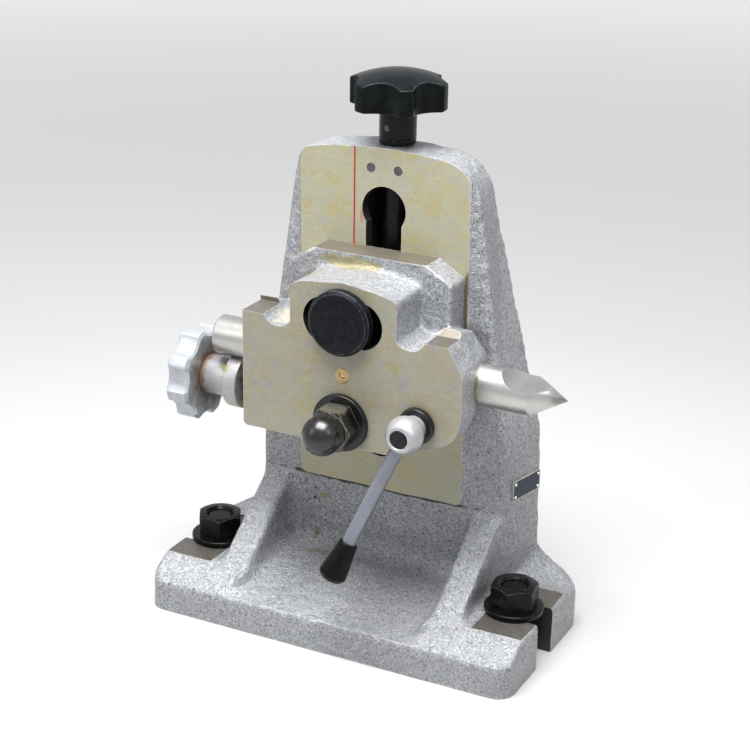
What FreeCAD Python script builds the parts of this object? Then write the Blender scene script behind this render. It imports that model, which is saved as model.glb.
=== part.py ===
"""Adjustable tilting tailstock for a rotary table, as a parametric assembly of its separate pieces.

Row frame: millimetres, +X along the quill towards its point, +Y to the back of the column, +Z up.
The origin is on the underside of the base, below the column's middle, in the quill's centre plane.
"""
import FreeCAD
import Part
import math
import os
from types import SimpleNamespace

import Sketcher
from FreeCAD import Placement, Rotation, Vector

doc = FreeCAD.newDocument("Tailstock")
sheet = doc.addObject("Spreadsheet::Sheet", "Sizes")


class Size:
    """A length or angle: its value now, and the expression that gives it from the sheet."""

    def __init__(self, value, text):
        self.value, self.text = float(value), text

    def join(self, sign, other, value):
        return Size(value, f"({self.text} {sign} {other.text})")

    def __add__(self, other):
        other = as_size(other)
        return self.join("+", other, self.value + other.value)

    def __sub__(self, other):
        other = as_size(other)
        return self.join("-", other, self.value - other.value)

    def __mul__(self, other):
        other = as_size(other)
        return self.join("*", other, self.value * other.value)

    def __truediv__(self, other):
        other = as_size(other)
        return self.join("/", other, self.value / other.value)

    def __neg__(self):
        return Size(-self.value, f"(0 - {self.text})")

    def __radd__(self, other):
        return as_size(other) + self

    def __rsub__(self, other):
        return as_size(other) - self

    def __rmul__(self, other):
        return as_size(other) * self


def as_size(item):
    return item if isinstance(item, Size) else Size(item, f"{item:.6f}")


def sine(angle):
    return Size(math.sin(math.radians(angle.value)), f"sin({angle.text})")


def cosine(angle):
    return Size(math.cos(math.radians(angle.value)), f"cos({angle.text})")


def root(item):
    return Size(math.sqrt(item.value), f"sqrt({item.text})")


# Driving sizes, in millimetres and degrees. Depths are measured from the quill's centre plane.
DRIVING = {
    # base casting
    "base_length": 180, "base_front": 40, "base_rear": 46.5, "lip_height": 15, "pad_height": 22,
    "hold_pad_front": 25, "hold_pad_toe": 13, "floor_rise": 8, "front_corner": 8, "rear_corner": 12,
    "end_slot_width": 17, "end_slot_inner": 74, "bolt_spread": 150,
    "rib_inner": 46, "rib_width": 14, "rib_height": 55, "rib_toe": 6.5,
    "gusset_front": 25, "gusset_top": 34.5, "gusset_end": 16.5, "gusset_reach": 88, "gusset_crest": 36.5,
    # column of the base casting
    "crown_rise": 91.3, "face_depth": 16.5, "face_proud": 1.2, "face_width": 80, "face_bottom": 57.5,
    "front_foot": 61, "rear_foot": 67.5, "shoulder_height": 89, "front_head": 41.2, "rear_head": 37,
    "rear_tilt": 2.4, "rear_start": 47.9, "front_edge": 4, "rear_edge": 5,
    "crown_radius": 203, "crown_corner": 20, "shoulder_round": 60, "core_wall": 9, "core_depth": 12,
    "core_top": 20, "core_rib": 18, "core_corner": 5,
    # rib behind the screw: half width, and how its back falls away above the keyhole
    "screw_rib": 15, "screw_rib_shoulder": 8, "screw_rib_crest": 15, "screw_rib_slope": 2.5,
    "screw_rib_chamfer": 8,
    # guide slot in the column
    "guide_width": 17.2, "guide_wall": 5, "keyhole_diameter": 21, "keyhole_drop": 27.3,
    "channel_width": 21.2, "channel_depth": 17.2, "channel_play": 3.8,
    # travel of the head along the slot, and the play left at its ends
    "lift_up": 16, "lift_down": 24, "end_play": 0.7,
    # elevating screw, its knob and its neck pins
    "screw_depth": 28.8, "screw_diameter": 12, "journal_diameter": 14,
    "neck_diameter": 8.5, "neck_drop": 9.1, "neck_pin_diameter": 4.3, "neck_pin_length": 23.5,
    "sleeve_diameter": 16.2, "sleeve_height": 15.6, "screw_knob_diameter": 43.4, "screw_knob_height": 11.3,
    "screw_knob_dome": 5, "screw_knob_lobes": 6, "screw_knob_scallop": 12.3, "screw_knob_bite": 4.7,
    "knob_pin_diameter": 3,
    # lifting block and the two bolts in the guide slot
    "centre_height": 124, "pivot_wall": 5.7, "arc_radius": 45.7, "block_diameter": 20.6,
    "block_length": 16.8, "guide_diameter": 17, "arc_bolt_shank": 13, "arc_bolt_thread": 10,
    "arc_bolt_head": 29,
    "arc_bolt_head_thickness": 4.8, "clamp_bolt_diameter": 12, "clamp_head_thickness": 7,
    "clamp_head_height": 13, "clamp_washer_diameter": 26, "clamp_washer_thickness": 2.5,
    "cap_nut_flats": 18, "cap_nut_hex": 9.8, "cap_nut_neck": 5,
    "cap_nut_dome": 8.8,
    # head casting
    "head_front": 21, "head_plate": 15, "head_block_back": 13.5, "head_left": 49, "head_right": 56,
    "head_drop": 31.8, "head_rise": 22, "slide_half": 39, "slide_front": 3, "slide_side_rise": 39.5,
    "slide_rise": 47, "land_half": 23.5, "brow_half": 25.3, "brow_side_rise": 37.5, "brow_rise": 41.9,
    "notch_radius": 8, "notch_centre": 31.5, "notch_rise": 25.3, "arc_slot_width": 21,
    "arc_slot_half_angle": 10.6,
    # corners of the head's block: front outline, then how far the rear outline is drawn in
    "left_corner": 2.3, "left_corner_rise": 5.2, "bevel_start": 30, "bevel_end": 3.7, "bevel_rise": 11.6,
    "side_start": 21, "shoulder_drop": 11.5, "shoulder_inset": 7,
    "back_left": 5, "back_left_toe": 7, "back_left_rise": 8, "back_top": 6, "back_low": 4,
    "back_toe": 32, "back_bevel": 18, "back_bevel_rise": 10, "back_side": 10, "back_boss": 3,
    "back_boss_drop": 14, "back_crown": 10, "back_crown_drop": 5,
    # quill and its feed
    "quill_diameter": 18, "quill_left": 72.6, "quill_tip": 95, "point_angle": 60, "relief_start": 66,
    "relief_height": 4.5, "relief_lean": 10, "feed_diameter": 10, "feed_end": 24,
    "feed_hole_end": 12, "flange_diameter": 25.2, "flange_outer": 65.6, "flange_thickness": 7,
    "flange_bite": 1.3, "feed_hub_diameter": 18, "feed_knob_diameter": 43, "feed_knob_inner": 79,
    "feed_knob_thickness": 11, "feed_knob_lobes": 8, "feed_knob_scallop": 8, "feed_knob_bite": 2.2,
    "feed_cap_diameter": 9.5, "feed_cap_height": 2.8, "feed_tap_depth": 8,
    # quill lock
    "lock_across": 36.2, "lock_wall": 1.9, "lock_screw_diameter": 8, "cotter_diameter": 14,
    "cotter_split": 0.6, "cotter_bottom": 11.5, "cotter_proud": 0.5, "collar_diameter": 16.5,
    "collar_thickness": 2.5, "hub_diameter": 16.4, "hub_depth": 33.5, "hub_flat": 6.6, "hub_neck": 11,
    "hub_cap_diameter": 8, "hub_cap_height": 1.7, "arm_diameter": 6, "arm_length": 71.5, "arm_swing": 21,
    "arm_rake": 15, "grip_length": 18.5, "grip_small": 8, "grip_large": 12.6, "arm_seat": 4,
    # oiler, nameplate and hold-down hardware
    "oiler_diameter": 6, "oiler_depth": 5, "oiler_lip": 0.3, "oil_ball": 3, "oil_hole": 2.6,
    "oiler_rise": 0.5, "spring_wire": 0.35, "spring_length": 2.4, "spring_gap": 0.55,
    "plate_length": 20.5, "plate_width": 9.5, "plate_thickness": 0.6, "plate_height": 66,
    "plate_depth": 33, "rivet_diameter": 1.8, "rivet_head": 0.5, "rivet_inset": 1.7,
    "stud_diameter": 12, "hold_washer_diameter": 26.5, "hold_washer_thickness": 2.5, "hold_nut_flats": 19,
    "hold_nut_height": 10, "stud_recess": 1.2,
    # clearances: running fit on a radius, gap between sliding faces, clearance hole on a radius
    "running_fit": 0.05, "sliding_gap": 0.05, "hole_clearance": 0.15,
}

# Heights and drops that follow from the driving sizes, so that what fits together moves together.
DERIVED = {
    "column_height": "centre_height + crown_rise",
    "keyhole_height": "column_height - keyhole_drop",
    "neck_height": "column_height - neck_drop",
    "pivot_height": "centre_height - quill_diameter / 2 - clamp_bolt_diameter / 2 - pivot_wall",
    "guide_bottom": "pivot_height - lift_down - clamp_bolt_diameter / 2 - end_play",
    "channel_bottom": "pivot_height - lift_down - clamp_head_height / 2 - channel_play",
    "screw_bottom": "pivot_height + clamp_head_height / 2 + lift_up + end_play",
    "head_bottom": "centre_height - head_drop",
    "head_top": "centre_height + head_rise",
    "slide_shoulder": "centre_height + slide_side_rise",
    "slide_top": "centre_height + slide_rise",
    "brow_side": "centre_height + brow_side_rise",
    "brow_top": "centre_height + brow_rise",
    "notch_height": "centre_height + notch_rise",
    "feed_drop": "quill_diameter / 2 + flange_diameter / 2 - flange_bite",
    "lock_height": "centre_height - quill_diameter / 2 - lock_screw_diameter / 2 - lock_wall",
    "oiler_height": "centre_height + oiler_rise",
}

cells = {name: str(value) for name, value in DRIVING.items()}
cells.update({name: "=" + formula for name, formula in DERIVED.items()})
for row, (name, content) in enumerate(cells.items(), start=1):
    sheet.set(f"A{row}", name)
    sheet.set(f"B{row}", content)
    sheet.setAlias(f"B{row}", name)
doc.recompute()
z = SimpleNamespace(**{name: Size(sheet.get(name), f"Sizes.{name}") for name in cells})
zero = as_size(0)

TURN = {
    "X": Rotation(Vector(0, 0, 1), Vector(1, 0, 0)),
    "Y": Rotation(Vector(1, 0, 0), -90),
    "Z": Rotation(),
}
# Sketch planes: local x and y are the plane's two letters, and the local normal is the third axis,
# which points to -Y on XZ.
PLANE = {
    "XY": Rotation(),
    "XZ": Rotation(Vector(1, 0, 0), 90),
    "YZ": Rotation(Vector(1, 1, 1), 120),
}


def bind(item, path, amount):
    item.setExpression(path, as_size(amount).text)


def place(item, point, rotation=None):
    """Put an object at a point of sizes, turned by a fixed rotation."""
    item.Placement = Placement(Vector(), rotation or Rotation())
    for letter, amount in zip("xyz", point):
        bind(item, f"Placement.Base.{letter}", amount)


def cylinder(name, radius, start, length, axis, angle=None, rotation=None):
    item = doc.addObject("Part::Cylinder", name)
    bind(item, "Radius", radius)
    bind(item, "Height", length)
    if angle is not None:
        bind(item, "Angle", angle)
    place(item, start, rotation or TURN[axis])
    return item


def ball(name, radius, centre):
    item = doc.addObject("Part::Sphere", name)
    bind(item, "Radius", radius)
    place(item, centre)
    return item


def box(name, low, high):
    item = doc.addObject("Part::Box", name)
    for side, first, last in zip(("Length", "Width", "Height"), low, high):
        bind(item, side, as_size(last) - first)
    place(item, low)
    return item


def outline(name, plane, points):
    """A closed sketch of straight sides whose corners are bound to sizes."""
    sketch = doc.addObject("Sketcher::SketchObject", name)
    corners = [(as_size(a), as_size(b)) for a, b in points]
    spots = [Vector(a.value, b.value, 0) for a, b in corners]
    count = len(spots)
    for i in range(count):
        sketch.addGeometry(Part.LineSegment(spots[i], spots[(i + 1) % count]), False)
    for i in range(count):
        sketch.addConstraint(Sketcher.Constraint("Coincident", i, 2, (i + 1) % count, 1))
    for i, (a, b) in enumerate(corners):
        for kind, amount in (("DistanceX", a), ("DistanceY", b)):
            index = sketch.addConstraint(Sketcher.Constraint(kind, -1, 1, i, 1, amount.value))
            sketch.setExpression(f"Constraints[{index}]", amount.text)
    sketch.Placement = Placement(Vector(), PLANE[plane])
    return sketch


def prism(name, plane, points, first, last):
    """Sweep an outline square to its plane, from one coordinate to another."""
    sketch = outline(name + "_outline", plane, points)
    item = doc.addObject("Part::Extrusion", name)
    item.Base = sketch
    item.DirMode = "Normal"
    item.Solid = True
    bind(item, "LengthFwd", as_size(last) - first)
    letter, start = {"XY": ("z", first), "XZ": ("y", last), "YZ": ("x", first)}[plane]
    bind(sketch, f"Placement.Base.{letter}", start)
    return item


def turned(name, points, axis, centre):
    """Turn an outline of (place along the axis, radius) pairs about an axis through the centre."""
    plane, swap = {"X": ("XZ", False), "Y": ("YZ", False), "Z": ("XZ", True)}[axis]
    pairs = [(radius, along) if swap else (along, radius) for along, radius in points]
    item = doc.addObject("Part::Revolution", name)
    item.Source = outline(name + "_outline", plane, pairs)
    item.Axis = {"X": Vector(1, 0, 0), "Y": Vector(0, 1, 0), "Z": Vector(0, 0, 1)}[axis]
    item.Angle = 360
    item.Solid = True
    place(item, centre)
    return item


def skin(name, first, last):
    """A solid with flat or ruled sides between two outlines of as many corners."""
    item = doc.addObject("Part::Loft", name)
    item.Sections = [first, last]
    item.Solid = True
    item.Ruled = True
    return item


def at_depth(sketch, depth):
    bind(sketch, "Placement.Base.y", depth)
    return sketch


def fused(name, *pieces):
    item = doc.addObject("Part::MultiFuse", name)
    item.Shapes = list(pieces)
    item.Refine = True
    return item


def shared(name, *pieces):
    item = doc.addObject("Part::MultiCommon", name)
    item.Shapes = list(pieces)
    item.Refine = True
    return item


def cut(name, base, *tools):
    item = doc.addObject("Part::Cut", name)
    item.Base = base
    item.Tool = tools[0] if len(tools) == 1 else fused(name + "_tools", *tools)
    item.Refine = True
    return item


def rounded(name, base, *rules):
    """Round edges of a piece: each rule is a radius and a test of an edge and its middle point."""
    doc.recompute()
    item = doc.addObject("Part::Fillet", name)
    item.Base = base
    picked = []
    for number, edge in enumerate(base.Shape.Edges, start=1):
        middle = edge.valueAt((edge.FirstParameter + edge.LastParameter) / 2)
        radius = next((radius for radius, wanted in rules if wanted(edge, middle)), None)
        if radius:
            picked.append((number, radius.value, radius.value))
    item.Edges = picked
    return item


def upright(edge):
    return abs(edge.tangentAt(edge.FirstParameter).z) > 0.999


def hexagon(flats):
    """Corners of a hexagon with two corners on the first axis, for a given width across flats."""
    reach = flats / as_size(math.sqrt(3))
    turns = [math.radians(60 * i) for i in range(6)]
    return [(reach * round(math.cos(t), 6), reach * round(math.sin(t), 6)) for t in turns]


def star_knob(name, diameter, lobes, scallop, depth, thickness):
    """A lobed knob of a given thickness, turned out of a disc by scallops round its rim."""
    body = doc.addObject("PartDesign::Body", name)
    plane = next(o for o in body.Origin.OriginFeatures if o.Role == "XY_Plane")
    disc = body.newObject("Sketcher::SketchObject", name + "_disc")
    disc.AttachmentSupport = [(plane, "")]
    disc.MapMode = "FlatFace"
    disc.addGeometry(Part.Circle(Vector(), Vector(0, 0, 1), diameter.value / 2), False)
    disc.addConstraint(Sketcher.Constraint("Coincident", 0, 3, -1, 1))
    index = disc.addConstraint(Sketcher.Constraint("Diameter", 0, diameter.value))
    disc.setExpression(f"Constraints[{index}]", diameter.text)
    pad = body.newObject("PartDesign::Pad", name + "_pad")
    pad.Profile = disc
    bind(pad, "Length", thickness)
    bite = body.newObject("Sketcher::SketchObject", name + "_scallop")
    bite.AttachmentSupport = [(plane, "")]
    bite.MapMode = "FlatFace"
    reach = diameter / 2 + scallop - depth
    bite.addGeometry(Part.Circle(Vector(reach.value, 0, 0), Vector(0, 0, 1), scallop.value), False)
    for kind, amount in (("DistanceX", reach), ("DistanceY", zero)):
        index = bite.addConstraint(Sketcher.Constraint(kind, -1, 1, 0, 3, amount.value))
        bite.setExpression(f"Constraints[{index}]", amount.text)
    index = bite.addConstraint(Sketcher.Constraint("Radius", 0, scallop.value))
    bite.setExpression(f"Constraints[{index}]", scallop.text)
    pocket = body.newObject("PartDesign::Pocket", name + "_pocket")
    pocket.Profile = bite
    pocket.Type = "ThroughAll"
    pocket.Midplane = True
    doc.recompute()
    ring = body.newObject("PartDesign::PolarPattern", name + "_ring")
    ring.Originals = [pocket]
    ring.Axis = (disc, ["N_Axis"])
    ring.Angle = 360
    bind(ring, "Occurrences", lobes)
    body.Tip = ring
    return body


NODES = []


def node(label, item):
    """Keep a finished piece under the name that its file takes."""
    item.Label = label
    NODES.append(item)
    return item


# Places that several pieces share
half_length = z.base_length / 2
KNOB_TURN = -25.1
FEED_TURN = -7
flank_depth = z.face_depth + z.face_proud
arc_bolt_height = z.pivot_height + z.arc_radius
lift_block_depth = z.face_depth + z.guide_wall + 2 * z.sliding_gap
head_back = z.face_depth - z.sliding_gap
nut_face = z.pad_height + z.hold_washer_thickness
feed_height = z.centre_height - z.feed_drop
FAR = 20


def column_outline(name, foot, head):
    """Front or rear outline of the column, taller than it will be after the crown is cut."""
    rise = z.column_height - z.shoulder_height
    tip = head - (foot - head) * FAR / rise
    top = z.column_height + FAR
    low = z.lip_height / 2
    return outline(name, "XZ", [
        (-foot, low), (foot, low), (foot, z.shoulder_height), (tip, top),
        (-tip, top), (-foot, z.shoulder_height)])


def across_depth(edge):
    return abs(edge.tangentAt((edge.FirstParameter + edge.LastParameter) / 2).y) > 0.9


def column():
    """Tapered column with an arched crown, soft cast edges and a face machined proud of its flanks."""
    front = at_depth(column_outline("column_front", z.front_foot, z.front_head), z.face_depth)
    rear = at_depth(column_outline("column_rear", z.rear_foot, z.rear_head), z.rear_start)
    rear.Placement = Placement(Vector(), Rotation(Vector(1, 0, 0), 90))
    bind(rear, "Placement.Rotation.Angle", 90 + z.rear_tilt)
    raw = skin("column_raw", front, rear)
    crown = cylinder("crown", z.crown_radius, (0, z.face_depth - FAR, z.column_height - z.crown_radius),
                     z.base_rear - z.face_depth + 2 * FAR, "Y")
    arched = shared("column_arched", raw, crown)
    smooth = rounded(
        "column_rounded", arched,
        (z.crown_corner, lambda edge, middle: across_depth(edge) and middle.z > z.column_height.value - FAR),
        (z.shoulder_round, lambda edge, middle: across_depth(edge)
         and abs(middle.z - z.shoulder_height.value) < 3))
    top = z.column_height + FAR
    front_slab = box("front_slab", (-half_length, z.face_depth - FAR, 0), (half_length, flank_depth, top))
    flanked = cut("column_flanked", smooth, front_slab)

    def outer(edge, middle):
        return not across_depth(edge) and middle.z > z.pad_height.value

    soft = rounded(
        "column_soft", flanked,
        (z.front_edge, lambda edge, middle: outer(edge, middle) and middle.y < flank_depth.value + 0.01),
        (z.rear_edge, lambda edge, middle: outer(edge, middle) and middle.y > flank_depth.value + 10))
    half_face = z.face_width / 2
    face = shared("column_face", smooth, box(
        "face_block", (-half_face, z.face_depth, z.face_bottom),
        (half_face, z.face_depth + 2 * z.rear_edge, top)))
    rib = prism("screw_rib", "YZ", [
        (z.screw_depth, z.lip_height), (z.base_rear, z.lip_height), (z.base_rear, z.rib_height),
        (z.base_rear - z.screw_rib_slope, z.keyhole_height + z.screw_rib_shoulder),
        (z.base_rear - z.screw_rib_chamfer, z.keyhole_height + z.screw_rib_crest),
        (z.screw_depth, z.keyhole_height + z.screw_rib_crest)], -z.screw_rib, z.screw_rib)
    return fused("column", soft, face, rib)


def core(side):
    """Cored hollow in the back of the column, on one side of the screw channel."""
    slope = (z.rear_foot - z.rear_head) / (z.column_height - z.shoulder_height)
    top = z.column_height - z.core_top
    outer = z.rear_foot - z.core_wall
    corner = outer - slope * (top - z.shoulder_height)
    points = [(side * z.core_rib, z.core_depth), (side * outer, z.core_depth),
              (side * outer, z.shoulder_height), (side * corner, top), (side * z.core_rib, top)]
    name = "core_right" if side > 0 else "core_left"
    hollow = prism(name, "XZ", points, flank_depth + z.core_depth, z.base_rear + FAR)
    return rounded(name + "_rounded", hollow, (
        z.core_corner, lambda edge, middle: abs(edge.tangentAt(edge.FirstParameter).y) > 0.9))


def base_casting():
    """Base and column in one iron casting: ribs, hold-down pads, end slots, guide slot and channel."""
    floor_top = z.lip_height + z.floor_rise
    plate = box("plate", (-half_length, -z.base_front, 0), (half_length, z.base_rear, z.lip_height))
    low = z.lip_height / 2
    toe = z.hold_pad_front + z.hold_pad_toe
    shelf = prism("shelf", "YZ", [
        (-toe, low), (z.gusset_front, low), (z.gusset_front, z.pad_height),
        (-z.hold_pad_front, z.pad_height), (-toe, z.lip_height)], -half_length, half_length)
    bay = box("bay", (-z.rib_inner, -z.base_front - 1, z.lip_height), (z.rib_inner, flank_depth, 2 * FAR))
    floor = prism("floor", "YZ", [
        (-z.base_front + 2, low), (flank_depth + 1, low), (flank_depth + 1, floor_top),
        (-z.base_front + 2, z.lip_height)], -z.rib_inner, z.rib_inner)
    ribs = []
    for side in (-1, 1):
        inner, outer = side * z.rib_inner, side * (z.rib_inner + z.rib_width)
        first, last = (inner, outer) if side > 0 else (outer, inner)
        ribs.append(prism("rib_right" if side > 0 else "rib_left", "YZ", [
            (-z.base_front + z.rib_toe, low), (flank_depth + 1, low), (flank_depth + 1, z.rib_height),
            (-z.base_front + z.rib_toe, z.lip_height + 0.5)], first, last))
    gussets = []
    slope = prism("gusset_slope", "YZ", [
        (z.gusset_front - 2, z.pad_height), (z.gusset_front, z.pad_height),
        (z.base_rear + 1, z.gusset_crest), (z.base_rear + 1, FAR), (z.gusset_front - 2, FAR)],
        -half_length - 1, half_length + 1)
    for side in (-1, 1):
        name = "gusset_right" if side > 0 else "gusset_left"
        web = prism(name + "_web", "XZ", [
            (side * (z.front_foot - 2), low), (side * z.gusset_reach, low),
            (side * z.gusset_reach, z.gusset_end), (side * (z.front_foot + 2), z.gusset_top),
            (side * (z.front_foot - 2), z.gusset_top)], z.gusset_front - 1, z.base_rear)
        gussets.append(cut(name, web, slope))
    solid = fused("base_raw", plate, cut("shelves", shelf, bay), floor, *ribs, *gussets, column())

    blank = box("blank", (-half_length, -z.base_front, 0),
                (half_length, z.base_rear, z.column_height + FAR))
    blank_round = rounded("blank_round", blank,
                          (z.front_corner, lambda edge, middle: upright(edge) and middle.y < 0),
                          (z.rear_corner, lambda edge, middle: upright(edge) and middle.y > 0))
    trimmed = shared("base_trimmed", solid, blank_round)

    cutters = []
    half_slot = z.end_slot_width / 2
    for side in (-1, 1):
        name = "end_slot_right" if side > 0 else "end_slot_left"
        inner, outer = side * z.end_slot_inner, side * (half_length + 1)
        first, last = (inner, outer) if side > 0 else (outer, inner)
        cutters.append(box(name, (first, -half_slot, -1), (last, half_slot, z.rib_height)))
        cutters.append(cylinder(name + "_end", half_slot, (inner, 0, -1), z.pad_height + 2, "Z"))
    reach = z.guide_wall + 3
    slot_end = z.guide_bottom + z.guide_width / 2
    cutters.append(box("guide_slot", (-z.guide_width / 2, z.face_depth - 2, slot_end),
                       (z.guide_width / 2, z.face_depth + reach, z.keyhole_height)))
    cutters.append(cylinder("guide_end", z.guide_width / 2, (0, z.face_depth - 2, slot_end), reach + 2, "Y"))
    cutters.append(cylinder("keyhole", z.keyhole_diameter / 2, (0, z.face_depth - 2, z.keyhole_height),
                            reach + 2, "Y"))
    cutters.append(box("channel", (-z.channel_width / 2, z.face_depth + z.guide_wall, z.channel_bottom),
                       (z.channel_width / 2, z.face_depth + z.guide_wall + z.channel_depth,
                        z.keyhole_height + z.keyhole_diameter / 2)))
    cutters.append(cylinder("journal_bore", z.journal_diameter / 2 + z.running_fit,
                            (0, z.screw_depth, z.keyhole_height), z.column_height, "Z"))
    for side in (-1, 1):
        cutters.append(cylinder("pin_hole_right" if side > 0 else "pin_hole_left",
                                z.neck_pin_diameter / 2, (side * pin_spread(), z.face_depth, z.neck_height),
                                z.neck_pin_length, "Y"))
    cutters += [core(-1), core(1)]
    node("base_casting", cut("Base", trimmed, *cutters))


def pin_spread():
    """Distance of each neck pin from the screw's axis, just clear of the neck."""
    return z.neck_diameter / 2 + z.neck_pin_diameter / 2 + z.running_fit


def neck_pins():
    """Two pins through the casting that hold the screw by its neck."""
    pins = [cylinder(name, z.neck_pin_diameter / 2, (side * pin_spread(), z.face_depth, z.neck_height),
                     z.neck_pin_length, "Y") for name, side in (("pin_left", -1), ("pin_right", 1))]
    group = doc.addObject("Part::Compound", "NeckPins")
    group.Links = pins
    node("neck_pins", group)


def elevating_screw():
    """Screw that hangs in the column's crown by its neck, with its sleeve, knob and cross pin."""
    seat = z.column_height + 0.1
    neck_low = z.neck_height - z.neck_pin_diameter / 2 - z.running_fit
    neck_high = z.neck_height + z.neck_pin_diameter / 2 + z.running_fit
    thread, journal, neck = z.screw_diameter / 2, z.journal_diameter / 2, z.neck_diameter / 2
    shank_top = seat + z.sleeve_height + z.screw_knob_height - 4
    spigot = thread - 1
    screw = turned("screw_blank", [
        (z.screw_bottom, 0), (z.screw_bottom, thread - 1), (z.screw_bottom + 1, thread),
        (z.keyhole_height + z.keyhole_diameter / 2 - 2, thread),
        (z.keyhole_height + z.keyhole_diameter / 2, journal), (neck_low, journal), (neck_low, neck),
        (neck_high, neck), (neck_high, journal), (seat, journal), (seat, spigot), (shank_top, spigot),
        (shank_top, 0)], "Z", (0, z.screw_depth, 0))
    pin_radius = z.knob_pin_diameter / 2
    pin_height = seat + z.sleeve_height * 0.47
    sleeve_radius = z.sleeve_diameter / 2

    def pin_bar(name):
        return cylinder(name, pin_radius, (-sleeve_radius, z.screw_depth, pin_height),
                        z.sleeve_diameter, "X")

    node("elevating_screw", cut("Screw", screw, pin_bar("screw_pin_hole")))

    sleeve_top = seat + z.sleeve_height
    sleeve = turned("sleeve_blank", [
        (seat, spigot), (seat, sleeve_radius - 0.6), (seat + 0.6, sleeve_radius),
        (sleeve_top, sleeve_radius), (sleeve_top, spigot)], "Z", (0, z.screw_depth, 0))
    node("knob_sleeve", cut("Sleeve", sleeve, pin_bar("sleeve_pin_hole")))
    node("knob_pin", shared("KnobPin", pin_bar("knob_pin_bar"), cylinder(
        "knob_pin_trim", sleeve_radius, (0, z.screw_depth, seat), z.sleeve_height, "Z")))

    star = star_knob("ScrewStar", z.screw_knob_diameter, z.screw_knob_lobes, z.screw_knob_scallop,
                     z.screw_knob_bite, z.screw_knob_height + z.screw_knob_dome)
    place(star, (0, z.screw_depth, sleeve_top), Rotation(Vector(0, 0, 1), KNOB_TURN))
    dome_reach = z.screw_knob_diameter / 2
    dome_base = sleeve_top + z.screw_knob_height
    radius = (dome_reach * dome_reach + z.screw_knob_dome * z.screw_knob_dome) / (2 * z.screw_knob_dome)
    cap = ball("cap_ball", radius, (0, z.screw_depth, dome_base + z.screw_knob_dome - radius))
    domed = shared("screw_knob_domed", star, cap)
    bore = cylinder("knob_bore", spigot, (0, z.screw_depth, sleeve_top), shank_top - sleeve_top, "Z")
    node("elevating_knob", cut("ScrewKnob", domed, bore))


def lifting_block():
    """Round nut that the screw lifts, with the guide that rides in the column's slot."""
    front = lift_block_depth
    round_block = cylinder("block", z.block_diameter / 2, (0, front, arc_bolt_height), z.block_length, "Y")
    guide = cylinder("block_guide", z.guide_diameter / 2, (0, z.face_depth + z.sliding_gap, arc_bolt_height),
                     front - z.face_depth, "Y")
    nut_hole = cylinder("block_thread", z.screw_diameter / 2 + z.running_fit,
                        (0, z.screw_depth, arc_bolt_height - z.block_diameter), 2 * z.block_diameter, "Z")
    bolt_hole = cylinder("block_bolt_hole", z.arc_bolt_thread / 2, (0, z.face_depth - 1, arc_bolt_height),
                         5.5 + as_size(1), "Y")
    node("elevating_nut", cut("Block", fused("block_solid", round_block, guide), nut_hole, bolt_hole))


def arc_bolt():
    """Disc-headed shoulder bolt through the head's curved slot into the lifting block."""
    front = -z.head_front - z.sliding_gap
    shoulder = z.face_depth + z.sliding_gap
    rim = z.arc_bolt_head / 2
    node("arc_slot_bolt", turned("ArcBolt", [
        (front - z.arc_bolt_head_thickness, 0), (front - z.arc_bolt_head_thickness, rim - 1.2),
        (front - z.arc_bolt_head_thickness + 1.2, rim), (front, rim), (front, z.arc_bolt_shank / 2),
        (shoulder, z.arc_bolt_shank / 2), (shoulder, z.arc_bolt_thread / 2),
        (z.face_depth + 5.5, z.arc_bolt_thread / 2), (z.face_depth + 5.5, 0)], "Y", (0, 0, arc_bolt_height)))


def clamp_bolt():
    """T-bolt at the head's pivot, with its washer and its domed cap nut."""
    radius = z.clamp_bolt_diameter / 2
    inner = lift_block_depth
    nut_front = -z.head_front - z.sliding_gap - z.clamp_washer_thickness
    tip = nut_front - z.cap_nut_hex - 4
    shank = turned("clamp_blank", [
        (tip, 0), (tip, radius - 1), (tip + 1, radius), (inner, radius), (inner, z.block_diameter / 2),
        (inner + z.clamp_head_thickness, z.block_diameter / 2), (inner + z.clamp_head_thickness, 0)],
        "Y", (0, 0, z.pivot_height))
    half = z.clamp_head_height / 2
    wide = z.block_diameter
    flats = [box(name, (-wide, z.face_depth, z.pivot_height + first),
                 (wide, inner + FAR, z.pivot_height + last))
             for name, first, last in (("flat_low", -wide, -half), ("flat_high", half, wide))]
    node("clamp_bolt", cut("ClampBolt", shank, *flats))
    node("clamp_washer", turned("ClampWasher", [
        (nut_front, radius + z.hole_clearance), (nut_front, z.clamp_washer_diameter / 2 - 0.6),
        (nut_front + 0.6, z.clamp_washer_diameter / 2), (-z.head_front - z.sliding_gap,
                                                        z.clamp_washer_diameter / 2),
        (-z.head_front - z.sliding_gap, radius + z.hole_clearance)], "Y", (0, 0, z.pivot_height)))

    back = nut_front - z.sliding_gap
    hexa = prism("cap_hex", "XZ", [(a, b + z.pivot_height) for a, b in hexagon(z.cap_nut_flats)],
                 back - z.cap_nut_hex, back)
    cone_reach = z.cap_nut_flats / 2
    dome_base = back - z.cap_nut_hex
    trim = turned("cap_trim_cone", [
        (dome_base, 0), (dome_base, cone_reach), (dome_base + 1.2, cone_reach + 2), (back, cone_reach + 2),
        (back, 0)], "Y", (0, 0, z.pivot_height))
    dome_centre = dome_base - z.cap_nut_neck
    dome_ball = ball("cap_dome_ball", z.cap_nut_dome, (0, dome_centre, z.pivot_height))
    dome_neck = cylinder("cap_dome_neck", z.cap_nut_dome, (0, dome_centre, z.pivot_height),
                         z.cap_nut_neck + 1, "Y")
    solid = fused("cap_solid", shared("cap_hex_trimmed", hexa, trim), dome_ball, dome_neck)
    hole = cylinder("cap_hole", radius + z.running_fit, (0, tip - 0.6, z.pivot_height), back - tip + 1, "Y")
    node("cap_nut", cut("CapNut", solid, hole))


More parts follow.
